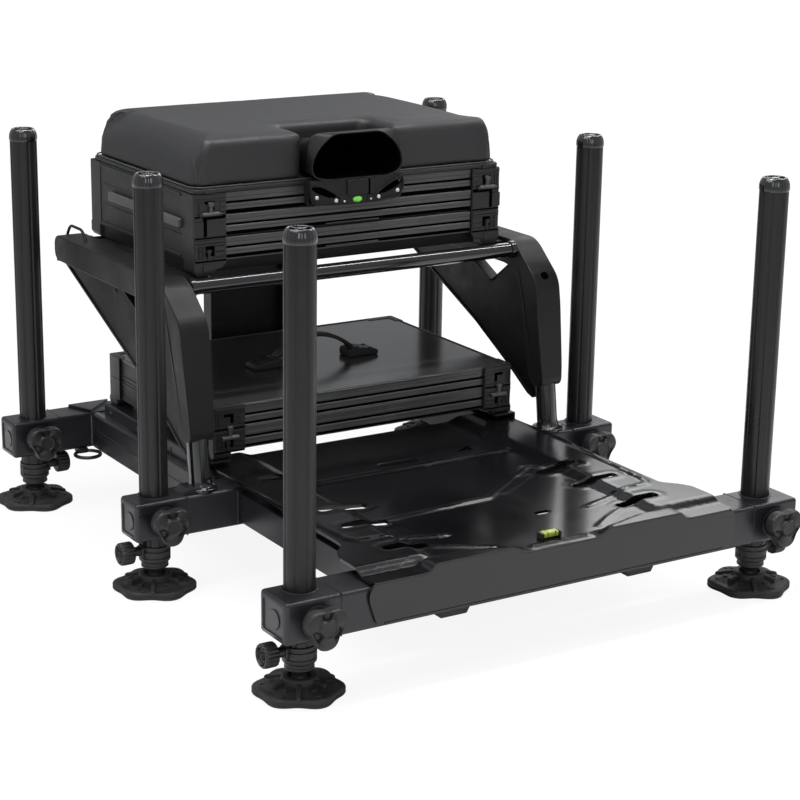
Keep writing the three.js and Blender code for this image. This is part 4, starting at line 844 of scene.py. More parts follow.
def side_rail(side):
    """Side rail with the ledge that the cassette box stands on."""
    s = SIDES[side]
    beam = extruded("y", [(s * 226, RAIL_LOW), (s * 250, RAIL_LOW), (s * 250, RAIL_HIGH), (s * 226, RAIL_HIGH)],
                    16.3, 363.7, 3.0, 3)
    shelf = extruded("y", [(s * 239, 122), (s * 239, 141.6), (s * 237.6, 143), (s * 205, 143), (s * 205, 140),
                           (s * 235, 140), (s * 236, 139), (s * 236, 122)], 26, 344, 0.8, 2)
    shapes = [beam, shelf]
    # low rib along the outer face, and the rivets of the ledge
    shapes.append(extruded("y", [(s * 249.5, 95), (s * 251.2, 96), (s * 251.2, 102), (s * 249.5, 103)],
                           22, 358, 0.5, 1))
    rivet = [(0, s * 1.8), (1.8, s * 1.6), (3.2, s * 0.9), (3.8, s * -0.4), (0, s * -0.4)]
    for y in (48, 134, 236, 322):
        shapes.append(turned(rivet, 24, (s * 239, y, 132), "x"))
    shapes.append(bead([(s * 239.6, 30, 124.4), (s * 239.6, 110, 124.4)], 1.2))
    shapes.append(bead([(s * 239.6, 250, 124.4), (s * 239.6, 340, 124.4)], 1.2))
    piece(f"side_beam_{side}", joined(*shapes), "platform", COATED, f"side_rail_{side}", crease=36)
    # light strip along the top and the weld down the corner with the rear rail, in the lighter satin grey as
    # painted highlights
    highlights = [block(s * 240.6, s * 247.4, 20, 361, 123.6, 124.8, 0.4, 1),
            bead([(s * 250.4, 363.8, 78), (s * 250.4, 363.8, 121)])]
    piece(f"side_highlights_{side}", joined(*highlights), "platform", SATIN_AND_HIGHLIGHT, crease=36)


# ---------------------------------------------------------------- footplate

# Opposite corners of the plate's slots on each side, with y measured back from the front legs.
PLATE_SLOTS = [((127, 182), (198, 199)), ((137, 118), (204, 131)), ((138, 28), (200, 44))]
PLATE_LEVEL = 129.4
FRONT_LEGS = 372


def distance_to_line(px, py, points):
    """How far each of many points is from a line through a few."""
    best = np.full(px.shape, 1e9)
    for (ax, ay), (bx, by) in zip(points, points[1:]):
        dx, dy = bx - ax, by - ay
        share = np.clip(((px - ax) * dx + (py - ay) * dy) / (dx * dx + dy * dy), 0, 1)
        best = np.minimum(best, np.hypot(px - ax - share * dx, py - ay - share * dy))
    return best


# Pressed ribs: the line that each follows, its height and its half width.
PLATE_RIBS = [
    ([(-140, 292), (150, 292)], 3.6, 9.0),
    ([(-30, 316), (24, 316)], 2.6, 6.0),
    ([(-199, 126), (-120, 131), (-51, 136), (19, 140), (76, 181), (127, 217), (162, 205), (188, 188)],
     1.9, 8.0),
    ([(44, 144), (82, 168), (116, 190)], 1.1, 5.0),
    ([(-35, -32), (2, -32)], 2.4, 5.0),
    ([(9, -32), (44, -32)], 2.4, 5.0),
]
# The same for the ribs that both sides have.
PLATE_SIDE_RIBS = [
    ([(236, 404), (234, 299), (226, 180), (220, 84), (212, 74), (163, 70), (103, 51)], 2.0, 5.0),
    ([(137, 26), (104, 8), (75, -12)], 1.6, 5.0),
]


def plate_relief(x, y):
    """Height of the pressed plate over its level middle; y is measured back from the front legs."""
    side = np.abs(x)
    wing = 6.0 * smooth_step((side - 152) / 22.0) * smooth_step((y + 16) / 16.0)
    hump = 9.0 * np.minimum(smooth_step((side - 48) / 26.0), smooth_step((186 - side) / 12.0))
    back = -24 + 16 * smooth_step((side - 60) / 80.0)
    ahead = smooth_step((back - y) / 12.0)
    level = np.maximum(wing, hump * ahead)
    ribs = np.zeros_like(x)

    def press(points, height, reach):
        return height * smooth_step(1.15 * (1 - distance_to_line(x, y, points) / reach))

    for points, height, reach in PLATE_RIBS:
        ribs = np.maximum(ribs, press(points, height, reach))
    for s in (-1, 1):
        for points, height, reach in PLATE_SIDE_RIBS:
            ribs = np.maximum(ribs, press([(s * px, py) for px, py in points], height, reach))
        # low swelling round each slot
        for (x0, y0), (x1, y1) in PLATE_SLOTS:
            half, middle = (y1 - y0) / 2, (y0 + y1) / 2
            away = distance_to_line(x, y, [(s * (x0 + half), middle), (s * (x1 - half), middle)])
            ribs = np.maximum(ribs, 0.5 * smooth_step(1 - np.abs(away - half - 5.5) / 6.0))
    return level + ribs


def pressed_plate(loops):
    """The plate: its outline and holes are filled, cut into a fine grid, pressed and given a thickness."""
    bm = drawn(loops, lambda px, py: (px, py - FRONT_LEGS, 0))
    bmesh.ops.triangle_fill(bm, edges=bm.edges[:], use_beauty=True, use_dissolve=False, normal=(0, 0, 1))
    for first, last, across in ((-64, 64, (1, 0, 0)), (-102, 16, (0, 1, 0))):
        for k in range(first, last + 1):
            bmesh.ops.bisect_plane(bm, geom=bm.verts[:] + bm.edges[:] + bm.faces[:], dist=1e-7,
                                   plane_co=[k * 4.0 * MM * c for c in across], plane_no=across)
    at = np.array([v.co[:] for v in bm.verts]) / MM
    height = PLATE_LEVEL + plate_relief(at[:, 0], at[:, 1] + FRONT_LEGS)
    for v, z in zip(bm.verts, height):
        v.co.z = z * MM
    rims = {e for e in bm.edges if e.is_boundary}
    thickened(bm, (0, 0, -3.6))
    bevelled(bm, [e for e in rims if e.is_valid], 0.8, 2)
    piece("pressed_plate", bm, "footplate", GLOSS, "footplate", crease=44)


def slot_lips(loops):
    """Lips turned down round the slots."""
    lips = []
    for loop in loops:
        across, back = (np.array(column) for column in zip(*loop))
        level = PLATE_LEVEL + plate_relief(across, back)
        # only the front pair may be deep: the others slide over the middle rail
        tall = 4.0 if max(back) < 70 else 1.9
        path = [(px, py - FRONT_LEGS, z - 0.6 - tall) for px, py, z in zip(across, back, level)]
        lips.append(swept([(-tall, -0.7), (tall, -0.7), (tall, 0.7), (-tall, 0.7)],
                          along(path + path[:2], (0, 0, 1))))
    piece("plate_slot_lips", joined(*lips), "footplate", GLOSS, crease=60)


def footplate():
    """Pressed plate with its slot lips, the flange along its front and the spirit level on it."""
    rim = rounded([(-259, -41.6), (259, -41.6), (258, 40), (246, 58), (233, 70), (232, 440), (-232, 440),
                   (-233, 70), (-246, 58), (-258, 40)], 9.0)
    slots = [rounded([(s * x0, y0), (s * x1, y0), (s * x1, y1), (s * x0, y1)], (y1 - y0) * 0.42)
             for s in (-1, 1) for (x0, y0), (x1, y1) in PLATE_SLOTS]
    slots.append(rounded([(-205, 322), (-172, 313), (-162, 337), (-204, 337)], 4.0))
    slots.append(rounded([(84, 319), (111, 313), (118, 337)], 4.0))
    window = rounded([(34, 58), (57, 58), (57, 68), (34, 68)], 4.0)
    pressed_plate([rim, *slots, window])
    slot_lips(slots)

    # front flange: its upper edge follows the plate, its ends are rounded
    across = np.linspace(-252, 252, 127)
    upper = 129.0 + plate_relief(across, np.full(127, -40.0)) - 0.8
    outline = [(px, pz) for px, pz in zip(across, upper)]
    end = [(256, 127.6), (259.6, 124.8), (262.4, 120.6), (264, 115), (263.4, 108), (259.6, 96), (255.6, 84.6),
           (252.4, 79.4), (247, 77.4)]
    outline += end + [(-px, pz) for px, pz in reversed(end)]
    flange = extruded("y", outline, -413.9, -410.3, 1.1, 2, angle=50)
    # rolled stiffening bead along the bottom
    roll = swept(circle(1.5, 10), along([(px, -413.2, 80.4) for px in np.linspace(-244, 244, 30)], (0, 0, 1)))
    piece("plate_flange", joined(flange, roll), "footplate", GLOSS, crease=40)

    # spirit level: the body, two lines round it and its end caps
    body = block(-11, 11, -390.4, -379.6, 130.2, 137.6, 2.4, 4)
    piece("plate_vial_body", body, "footplate", YELLOW, "footplate_vial")
    bands = []
    for x in (-5.5, 5.5):
        bands.append(block(x - 0.4, x + 0.4, -390.6, -379.4, 132, 137.8, 0.2, 1))
    for x in (-12.4, 12.4):
        bands.append(block(x - 1.6, x + 1.6, -390.9, -379.1, 129.4, 136.6, 0.8, 2))
    piece("plate_vial_marks", joined(*bands), "footplate", MOULDED)


def runner(side):
    """Box-section runner, open at its rear end."""
    s = SIDES[side]
    bar = block(s * 200, s * 224, -349.7, 96, 78, 118, 2.2, 2)
    rear = [f for f in bar.faces if f.normal.y > 0.98 and f.calc_center_median().y / MM > 95]
    bmesh.ops.inset_region(bar, faces=rear, thickness=2.4 * MM, depth=0.0, use_even_offset=True)
    bmesh.ops.inset_region(bar, faces=rear, thickness=0.3 * MM, depth=-30 * MM, use_even_offset=True)
    piece(f"runner_bar_{side}", bar, "footplate", COATED, f"footplate_runner_{side}")


# ---------------------------------------------------------------- side frames

TUBE_X = 268
TOP_RAIL = 361
BEND = 70
LEAN = math.radians(8)


def upright_y(z):
    """Where the middle of the leaning upright is at a height."""
    return -11 + (z - RAIL_HIGH) * math.tan(LEAN)


def side_tube(side):
    """Upright and top rail in one bend, with the flange on the platform and its two screws."""
    x = SIDES[side] * TUBE_X
    tangent = BEND * math.tan((math.pi / 2 - LEAN) / 2)
    path = [(x, upright_y(z), z) for z in np.linspace(126, TOP_RAIL - tangent * math.cos(LEAN) - 1, 16)]
    turn_y, turn_z = upright_y(TOP_RAIL) + tangent, TOP_RAIL - BEND
    for heading in np.linspace(LEAN, math.pi / 2, 22):
        path.append((x, turn_y - BEND * math.cos(heading), turn_z + BEND * math.sin(heading)))
    path += [(x, y, TOP_RAIL) for y in np.linspace(turn_y + 8, 388.6, 14)]
    tube = swept(circle(14, 40), along(path, (1, 0, 0)))
    flange = turned([(0, 124.3), (20.6, 124.3), (21, 124.8), (21, 127.4), (20.2, 128.3), (17, 128.8),
                     (15.6, 130.2), (14.6, 133.0), (14.2, 136), (0, 136)], 56, (x, -10.6, 0))
    for a in (0.8, 0.8 + math.pi):
        flange = joined(flange, turned([(0, 130.4), (1.8, 130.2), (2.8, 129.4), (3.0, 128), (0, 128)], 20,
                                       (x + 17.6 * math.cos(a), -10.6 + 17.6 * math.sin(a), 0)))
    piece(f"frame_tube_{side}", joined(tube, flange), "platform", TUBE, f"side_tube_{side}", crease=45)


def bracket_cover(side):
    """Cast cover round the tube's bend, with the ledge and the wire loop that it carries."""
    s = SIDES[side]
    x = s * TUBE_X
    corner = upright_y(TOP_RAIL)
    brow = upright_y(333) - 18
    outline = [(upright_y(185) - 17, 185), (brow, 333), (brow + 56, 379.5), (389, 379.5), (389, 344),
               (corner + 48, 344), (corner + 24, 332), (upright_y(310) + 18, 306), (upright_y(185) + 17, 185)]
    cover = extruded("x", rounded(outline, 16.0, 6), x - 20, x + 20)
    # the leg of the cover narrows to its foot
    for v in cover.verts:
        low = max(0.0, 1 - (v.co.z / MM - 186) / 120)
        v.co.x = (x + (v.co.x / MM - x) * (1 - 0.16 * low ** 0.8)) * MM
    soften(cover, 8.0, 3, 50, lambda e: abs(e.verts[0].co.x - e.verts[1].co.x) < 1e-3)
    soften(cover, 1.6, 2, 60, lambda e: e.verts[0].co.z < 0.2 and e.verts[1].co.z < 0.2)
    # thin fin where the cover meets the top rail's rear end, and the ledge under the seat unit
    shapes = [cover, block(x - 17, x + 17, 384.6, 389.4, 341.5, 347, 1.4, 2),
              block(x - s * 16, s * 208, 80, 350, 370.7, 374.7, 1.2)]
    # wire loop on the rail's rear end
    loop = rounded([(319, 375), (334, 392.4), (374, 392.4), (387.4, 375)], 8.0, 6)[3:-3]
    shapes.append(swept(circle(2.0, 12), along([(x + s * 1.6, py, pz) for py, pz in loop], (1, 0, 0))))
    piece(f"bracket_cover_{side}", joined(*shapes), "platform", CAST, f"side_bracket_{side}", crease=34)


def bracket_web(side):
    """Web below the top rail, with raised rims along its lower edge and its notch, and two bosses."""
    x = SIDES[side] * TUBE_X
    corner = upright_y(TOP_RAIL)
    foot = upright_y(186) + 18
    notch = corner + 134
    web = extruded("x", [(foot - 8, 190), (foot - 6, 168), (foot + 2, 162), (foot + 15, 164.6),
                         (corner + 60, 196), (corner + 142, 240), (386, 338), (386, 348), (notch + 56, 348),
                         (notch - 30, 308), (notch - 84, 348), (corner, 314)], x - 4, x + 4, 1.2, 2)

    def rim(wide, thick, radius, line):
        section = rounded([(-wide, -thick), (wide, -thick), (wide, thick), (-wide, thick)], radius, 2)
        return swept(section, along([(x, py, pz) for py, pz in line], (1, 0, 0)))

    shapes = [web, rim(6, 2.2, 1.4, [(foot + 4, 163.4), (foot + 16, 167.0), (corner + 60, 198.2),
                                     (corner + 142, 242), (384, 338.5)])]
    for wide, y, z in ((9.0, notch + 56, 349), (4.6, notch - 84, 349)):
        halfway = ((notch - 30 + y) / 2, (308.5 + z) / 2)
        shapes.append(rim(wide, 1.6, 1.0, [(notch - 30, 308.5), halfway, (y, z)]))
    for y, z in ((corner + 20, 300), (notch + 66, 330)):
        for t in (-1, 1):
            boss = [(0, t * 5.4), (3.0, t * 5.2), (4.6, t * 4.4), (5.0, t * 3.6), (0, t * 3.6)]
            shapes.append(turned(boss, 24, (x, y, z), "x"))
    piece(f"bracket_web_{side}", joined(*shapes), "platform", WEB_AND_SHADE, crease=34)


def bracket_bolt():
    """Bolt sunk at the crease of the brow, seen on the right cover, drawn all in near-black as painted shade in
    its hole.
    """
    hole = turned([(0, -2.6), (5.2, -2.6), (6.0, -1.9), (6.2, -0.6), (6.2, 3), (0, 3)], 28, (0, 0, 0), "y")
    place = (TUBE_X - 1, upright_y(333) - 10.4, 336)
    piece("bracket_bolt_shade_right", laid(hole, place, math.radians(-24), "X"), "platform", PAINTED_SHADE, crease=30)


def cross_tubes():
    """The two tubes between the side frames, with a collar at each end."""
    for name, node, y, z in (("front_cross_tube", "seat_front_tube", 56, 367),
                             ("rear_cross_tube", "seat_rear_tube", 368, 364.4)):
        tube = turned([(0, -247.6), (9.6, -247.6), (10, -247), (10, 247), (9.6, 247.6), (0, 247.6)], 48,
                      (0, y, z), "x")
        for s in (-1, 1):
            ring = [(9.8, s * 240), (11.6, s * 240.4), (12, s * 242), (12, s * 247.4), (9.8, s * 247.5),
                    (9.8, s * 240)]
            tube = joined(tube, turned(ring, 40, (0, y, z), "x"))
        piece(name, tube, "platform", TUBE, node, crease=45)


def rear_pillar():
    """Upright panel behind the cassette box: a frame with ledges and two sunk panels."""
    shapes = [block(-61, 61, 384.6, 388, 124.4, 354, 1.2)]
    for s in (-1, 1):
        shapes.append(block(s * 58, s * 61, 364, 386, 124.4, 354, 1.0))
    for z in (124.4, 286, 351):
        shapes.append(block(-59, 59, 364.4, 386, z, z + 3.6, 1.0))
    piece("pillar_frame", joined(*shapes), "platform", MOULDED, "rear_pillar")
    panels = [block(-57, 57, 377, 385, 290.5, 350.5, 2.0), block(-57, 57, 382.4, 385, 128.5, 225.5, 1.2)]
    piece("pillar_panels", joined(*panels), "platform", COATED)


# ---------------------------------------------------------------- seat unit

# Half width, front and rear of the seat unit and of the cassette box.
SEAT_UNIT = (233, 70, 387)
CASSETTE_BOX = (231, 26, 344)
ENDS = {"front": -1, "rear": 1}
# Steps of a grooved panel from its lower edge up: the share of its height, and how far behind the front.
BAND_STEPS = [
    (0.15, 4.2), (0.17, 0.5), (0.19, 0), (0.30, 0), (0.315, 0.7), (0.335, 0.7), (0.35, 0), (0.44, 0),
    (0.46, 0.5), (0.475, 3.4), (0.57, 3.4), (0.575, 1.2), (0.61, 1.2), (0.625, 0), (0.74, 0), (0.755, 0.7),
    (0.78, 0.7), (0.795, 0), (0.93, 0), (0.94, -0.5), (0.985, -0.5),
]
# Knuckles of the two hinges that each lid has: the fixed one and the moving one beside it.
HINGE_X = 150
FIXED_KNUCKLE = [(0, -20), (3.3, -20), (3.5, -19.6), (3.5, -0.5), (0, -0.5)]
MOVING_KNUCKLE = [(0, 0.5), (3.5, 0.5), (3.5, 19.6), (3.3, 20), (0, 20)]


def knuckle(profile, s, y, z):
    """One knuckle of a lid hinge, left for s = -1 and right for s = 1."""
    return turned(profile, 24, (s * HINGE_X, y, z), "x")


def side_name(s):
    return "left" if s < 0 else "right"


def grooved_band(front, depth, low, high, half):
    """A front panel across the box in section (y, z): two strips, a wide groove and a deep gap under them."""
    tall = high - low
    face = [(front + 4.2, low)] + [(front + behind, low + tall * share) for share, behind in BAND_STEPS]
    return extruded("x", face + [(front, high), (front + depth, high), (front + depth, low)], -half, half)


def corner_moulding(box, s, end, low, high):
    """L-shaped corner moulding with rounded outer edge and a rebate along its inner one."""
    half, front, rear = box
    outer, y, k = s * half, front if end < 0 else rear, -end
    steps = [(0, 0), (46, 0), (46, 2.2), (44, 3.4), (44, 11.0), (12, 12.0), (11, 31.6), (3, 31.6), (1.6, 34),
             (0, 34)]
    bm = extruded("z", [(outer - s * across, y + k * deep) for across, deep in steps], low, high)
    bevelled(bm, [e for e in bm.edges if abs(e.verts[0].co.z - e.verts[1].co.z) > 0.003
                  and abs(e.verts[0].co.x / MM - outer) < 0.01 and abs(e.verts[0].co.y / MM - y) < 0.01],
             4.2, 5, clamp=False)
    soften(bm, 0.7, 2, 50)
    return bm


def band_gap_shade(front, low, high, half):
    """Near-black blocks in a band's deep gaps: painted shade."""
    tall = high - low
    return joined(block(-half, half, front + 1.9, front + 3.0, low, low + 0.155 * tall, 0.1, 1),
                  block(-half, half, front + 2.3, front + 3.2, low + 0.47 * tall, low + 0.575 * tall, 0.1, 1))


def corner_units(box, s, units, name, body):
    """Raised mouldings of a front corner: strips, bars and blocks, with near-black blocks set back between them
    as painted shade in the slots.
    """
    outer, front, _ = box
    shapes, slot_shade = [], []

    def bar(near, far, ahead, behind, *rest):
        return block(s * (outer - near), s * (outer - far), front - ahead, front + behind, *rest)

    def raised(near, far, low, high, proud=1.5, bevel=0.6):
        shapes.append(bar(near, far, proud, 1.0, low, high, bevel, 2))

    # a near-black block set back in a slot: painted shade
    def black(near, far, low, high):
        slot_shade.append(bar(near, far, 0.3, 0.6, low, high, 0.05, 1))

    for kind, low, high in units:
        black(1.8, 45.0, low - 1.4, low + 0.6)
        if kind == "plates":
            raised(0.4, 13.4, low + 2.4, high - 4.6, 1.4, 1.0)
            raised(18.0, 45.4, low + 2.4, high - 2.4, 1.2, 1.0)
            black(13.0, 18.4, low + 1.6, high - 2.0)
            black(13.0, 45.0, high - 2.2, high)
            continue
        raised(2.2, 45.2, high - 4.6, high - 1.0, 1.4)
        raised(2.2, 45.2, high - 8.4, high - 5.4, 0.6 if kind == "catch" else 1.2)
        raised(2.2, 17.0, low + 0.9, low + 3.6, 1.3)
        raised(27.0, 45.2, low + 0.9, low + 4.2, 1.3)
        if kind == "hook":
            # two ladders of small bars
            for k in range(5):
                raised(6.0, 9.6, low + 4.6 + 3.0 * k, low + 6.6 + 3.0 * k, 1.5, 0.4)
                raised(11.2, 14.8, low + 4.6 + 3.0 * k, low + 6.6 + 3.0 * k, 1.5, 0.4)
            raised(28.6, 45.2, low + 5.6, low + 11.2, 1.4)
            raised(28.6, 45.2, low + 12.4, low + 18.4, 1.4)
            raised(17.6, 23.6, low + 10.6, low + 15.0, 2.8, 0.5)
            raised(18.8, 22.6, low + 1.0, low + 11.0, 1.8, 0.4)
            black(16.2, 28.2, low + 14.6, low + 19.2)
            black(23.8, 28.2, low + 6.0, low + 19.2)
            black(16.2, 18.4, low + 6.0, low + 11.0)
        else:
            raised(3.4, 5.8, low + 4.4, high - 9.0, 1.4, 0.4)
            raised(7.4, 9.8, low + 4.4, high - 9.0, 1.4, 0.4)
            raised(36.4, 45.2, low + 5.0, low + 10.6, 1.4)
            raised(36.4, 45.2, low + 12.0, low + 17.6, 1.4)
            raised(29.6, 36.6, low + 5.6, low + 17.0, 0.6)
            black(15.6, 29.0, low + 15.6, low + 19.4)
            black(24.6, 29.0, low + 7.0, low + 19.4)
    # the near-black blocks of painted shade, in one piece
    piece(f"{name}_corner_shade", joined(*slot_shade), body, PAINTED_SHADE, crease=40)
    return shapes


def seat_case():
    """The box under the lid: floors, walls, side strips, front panels, corners and fixed hinge knuckles."""
    walls = [block(-230, 230, 76, 383, 393, 395, 0.5, 1), block(-230, 230, 76, 383, 423.1, 424.9, 0.5, 1),
             block(-230, 230, 76, 383, 452.2, 454, 0.5, 1), block(-231, 231, 380, 383, 393, 480, 0.8)]
    for s in (-1, 1):
        walls.append(block(s * 229, s * 231.9, 76, 382, 393, 480, 0.8))
        walls.append(block(s * 187.2, s * 190, 76, 381, 394, 453, 0.4, 1))
        # recessed field along the side, framed by a thin ledge above and below
        walls.append(block(s * 231.4, s * 234.2, 107, 350, 396, 399, 0.6, 1))
        walls.append(block(s * 231.4, s * 234.4, 107, 350, 474, 477.4, 0.6, 1))
        for z in (423.6, 451.6):
            walls.append(block(s * 231.4, s * 232.8, 107, 350, z, z + 1.6, 0.4, 1))
        strip = joined(block(s * 231.5, s * 239, 103, 317, 433, 446, 2.6, 3),
                       block(s * 238.4, s * 239.3, 110, 310, 437.6, 441.4, 0.35, 1))
        piece(f"seat_side_strip_{side_name(s)}", strip, "platform", RIBBED, crease=36)
    piece("seat_shell", joined(*walls), "platform", MOULDED, "seat_case", crease=36)

    # front of the top tray, with a bright line above it and a thin strip under the lower drawer
    strip = [(74.8, 393.2), (74.4, 393.6), (74.4, 394.8), (74.8, 395.2), (78.4, 395.2), (78.4, 393.2)]
    upper = joined(grooved_band(74, 5.0, 452.6, 479.6, 186.8),
                   block(-187, 187, 73.6, 79.5, 478.6, 480.0, 0.4, 1), extruded("x", strip, -186.8, 186.8))
    piece("seat_tray_front", upper, "platform", RIBBED, crease=30)
    # near-black blocks in the tray front's gaps: painted shade
    piece("seat_tray_gap_shade", band_gap_shade(74, 452.6, 479.6, 186.6), "platform", PAINTED_SHADE)
    # dark panels in the space under the unit, seen above the cross tube: painted shade
    shade_panels = [block(-201, 201, 84, 87, 377.2, 394, 0.6, 1)]
    for s in (-1, 1):
        shade_panels.append(block(s * 226, s * 229, 100, 352, 376, 394, 0.6, 1))
    piece("seat_shade_panels", joined(*shade_panels), "platform", WEB_AND_SHADE)

    half, front, rear = SEAT_UNIT
    for side, s in SIDES.items():
        for tag, end in ENDS.items():
            y, k = front if end < 0 else rear, -end
            foot = [(s * half, 395), (s * 187.6, 395), (s * 187.6, 390), (s * 193, 384), (s * 202, 382),
                    (s * 205, 375.4), (s * 229, 375.4), (s * half, 381)]
            shapes = [corner_moulding(SEAT_UNIT, s, end, 393.5, 480),
                      extruded("y", foot, y, y + k * 30, 1.2, 2)]
            if end < 0:
                shapes += corner_units(SEAT_UNIT, s, [("hook", 394.5, 422.5), ("plates", 424.5, 450.5),
                                                      ("catch", 452.0, 479.5)], f"seat_{side}", "platform")
                shapes.append(block(s * 207, s * 221, 68.4, 71, 379.5, 391.0, 1.4, 2))
                # pin that the catch turns on
                pin = [(0, -15.4), (2.2, -15.4), (2.4, -15), (2.4, 15), (2.2, 15.4), (0, 15.4)]
                shapes.append(turned(pin, 20, (s * 210, 67.4, 454), "x"))
            piece(f"seat_corner_{tag}_{side}", joined(*shapes), "platform", MOULDED, crease=36)
    hinge = [knuckle(FIXED_KNUCKLE, s, 384, 480) for s in (-1, 1)]
    piece("seat_hinge_fixed", joined(*hinge), "platform", STEEL, crease=40)


def drawer(level, floor, height):
    """Open tray with two dividers behind a grooved front."""
    low, high = floor + 0.3, floor + height - 2.6
    shapes = [block(-186, 186, 77, 342, low, low + 2, 0.5, 1), block(-186, 186, 340, 342, low, high, 0.5, 1)]
    for s in (-1, 1):
        shapes.append(block(s * 184.4, s * 186.4, 77, 342, low, high, 0.5, 1))
    for x in (-62, 62):
        shapes.append(block(x - 0.8, x + 0.8, 80, 340, low + 1, high - 6, 0.3, 1))
    piece(f"{level}_drawer_tray", joined(*shapes), f"drawer_{level}", MOULDED, f"drawer_{level}", crease=36)
    front = joined(grooved_band(72.0, 7.6, low, high, 186.2),
                   block(-40, 40, 71.4, 74, low + 0.6, low + 2.0, 0.3, 1))
    piece(f"{level}_drawer_front", front, f"drawer_{level}", RIBBED, crease=30)
    # near-black blocks in the drawer front's gaps: painted shade
    piece(f"{level}_drawer_gap_shade", band_gap_shade(72.0, low, high, 186.0), f"drawer_{level}", PAINTED_SHADE)


def seat_lid():
    """Board under the cushion with a fine bead round it, the hinge's knuckles and the catches' keepers."""
    # the rear corners are cut back, so that the board clears the corner posts when it tips up
    plan = rounded([(-231.4, 71.6), (231.4, 71.6), (231.4, 377.5), (184, 377.5), (184, 385.4),
                    (-184, 385.4), (-184, 377.5), (-231.4, 377.5)], 9.0)
    rim = rounded([(-231.2, 71.8), (231.2, 71.8), (231.2, 377.3), (-231.2, 377.3)], 9.0)
    shapes = [extruded("z", plan, 480.4, 486.2, 1.4, 3), swept(circle(0.7, 8), closed_line(rim, 483.3))]
    for s in (-1, 1):
        shapes.append(knuckle(MOVING_KNUCKLE, s, 384, 480))
        shapes.append(block(s * 203, s * 217, 69.4, 73, 480.6, 484.6, 0.8))
    piece("lid_board", joined(*shapes), "seat_lid", MOULDED, "seat_lid", crease=36)


# Plan of the pad with the recess for the hood in its front, and the radius of each of its corners.
CUSHION_PLAN = [(-230.6, 74.0), (-76, 74.0), (-73, 136), (-64, 146), (54, 146), (63, 136), (66, 74.0),
                (230.6, 74.0), (230.6, 380), (-230.6, 380)]
CUSHION_CORNERS = [22.0, 7.0, 6.0, 12.0, 12.0, 6.0, 7.0, 22.0, 26.0, 26.0]
CUSHION_TOP = 547.2
RECESS_OFFSET = 5.0
HOOD_OFFSET = 6.0


def rolled_edge(at):
    """Turns the upper rim of the pad over in a round roll, wide outside and tight round the hood."""
    outline = np.array(rounded(CUSHION_PLAN, CUSHION_CORNERS, 8))
    after = np.roll(outline, -1, axis=0)
    flat = at[:, :2]
    best = np.full(len(at), 1e9)
    foot, inward = np.zeros((len(at), 2)), np.zeros((len(at), 2))
    for p, q in zip(outline, after):
        step = q - p
        length = float(np.hypot(*step))
        if length < 1e-6:
            continue
        share = np.clip(((flat - p) @ step) / length ** 2, 0, 1)
        near = p + share[:, None] * step
        far = np.hypot(*(flat - near).T)
        closer = far < best
        best = np.where(closer, far, best)
        foot[closer] = near[closer]
        inward[closer] = np.array((-step[1], step[0])) / length
    depth = np.maximum(np.einsum("ij,ij->i", flat - foot, inward), 0.0)
    from_hood = np.abs(foot[:, 0] + RECESS_OFFSET)
    recess = smooth_step((79 - from_hood) / 6.0) * smooth_step((156 - foot[:, 1]) / 6.0)
    # broad roll along the sides, a tighter one in front, tightest round the hood
    sideways = np.abs(inward[:, 0])
    reach = 12.0 + 28.0 * sideways + 7.0 * smooth_step((foot[:, 1] - 300) / 60.0)
    reach = reach * (1 - recess) + 9.0 * recess
    turn = (depth - (CUSHION_TOP - at[:, 2]) + reach) / (2 * reach)
    rolling = (turn > 0) & (turn < 1) & (at[:, 2] > 492)
    angle = np.clip(turn, 0, 1) * math.pi / 2
    inset = reach * (1 - np.cos(angle))
    out = at.copy()
    out[rolling, :2] = (foot + inward * inset[:, None])[rolling]
    out[rolling, 2] = (CUSHION_TOP - reach + reach * np.sin(angle))[rolling]
    # the walls lean in a little towards the top
    lean = (6.5 * sideways + 1.5 * (1 - sideways)) * (1 - recess)
    rise = np.clip((out[:, 2] - 487) / 60.0, 0, 1)
    out[:, :2] += inward * (lean * rise * np.clip(1 - depth / 60.0, 0, 1))[:, None]
    return out


def swollen(bm, cap, shaped):
    """Blows a closed form up like a stuffed cover and keeps each point within cap of its start."""
    mesh = bpy.data.meshes.new("stuffing")
    bm.to_mesh(mesh)
    bm.free()
    form = bpy.data.objects.new("stuffing", mesh)
    bpy.context.scene.collection.objects.link(form)
    remesh = form.modifiers.new("even", "REMESH")
    remesh.mode = "VOXEL"
    remesh.voxel_size = 0.0052
    graph = bpy.context.evaluated_depsgraph_get()
    even = bpy.data.meshes.new_from_object(form.evaluated_get(graph))
    form.modifiers.clear()
    form.data = even
    start = np.empty(len(even.vertices) * 3)
    even.vertices.foreach_get("co", start)
    start = shaped(start.reshape(-1, 3) / MM) * MM
    even.vertices.foreach_set("co", start.ravel())
    even.update()
    cloth = form.modifiers.new("cover", "CLOTH")
    cloth.settings.quality = 6
    cloth.settings.mass = 0.35
    cloth.settings.tension_stiffness = 18
    cloth.settings.compression_stiffness = 12
    cloth.settings.bending_stiffness = 1.2
    cloth.settings.use_pressure = True
    cloth.settings.uniform_pressure_force = 4.0
    cloth.settings.effector_weights.gravity = 0.0
    cloth.point_cache.frame_start, cloth.point_cache.frame_end = 1, 20
    scene = bpy.context.scene
    for k in range(1, 21):
        scene.frame_set(k)
    graph = bpy.context.evaluated_depsgraph_get()
    done = bpy.data.meshes.new_from_object(form.evaluated_get(graph))
    end = np.empty(len(done.vertices) * 3)
    done.vertices.foreach_get("co", end)
    end = end.reshape(-1, 3)
    scene.frame_set(1)
    form.modifiers.clear()
    shift = end - start
    far = np.linalg.norm(shift, axis=1, keepdims=True)
    start = start + shift * np.minimum(1.0, cap * MM / np.maximum(far, 1e-9))
    return form, even, start


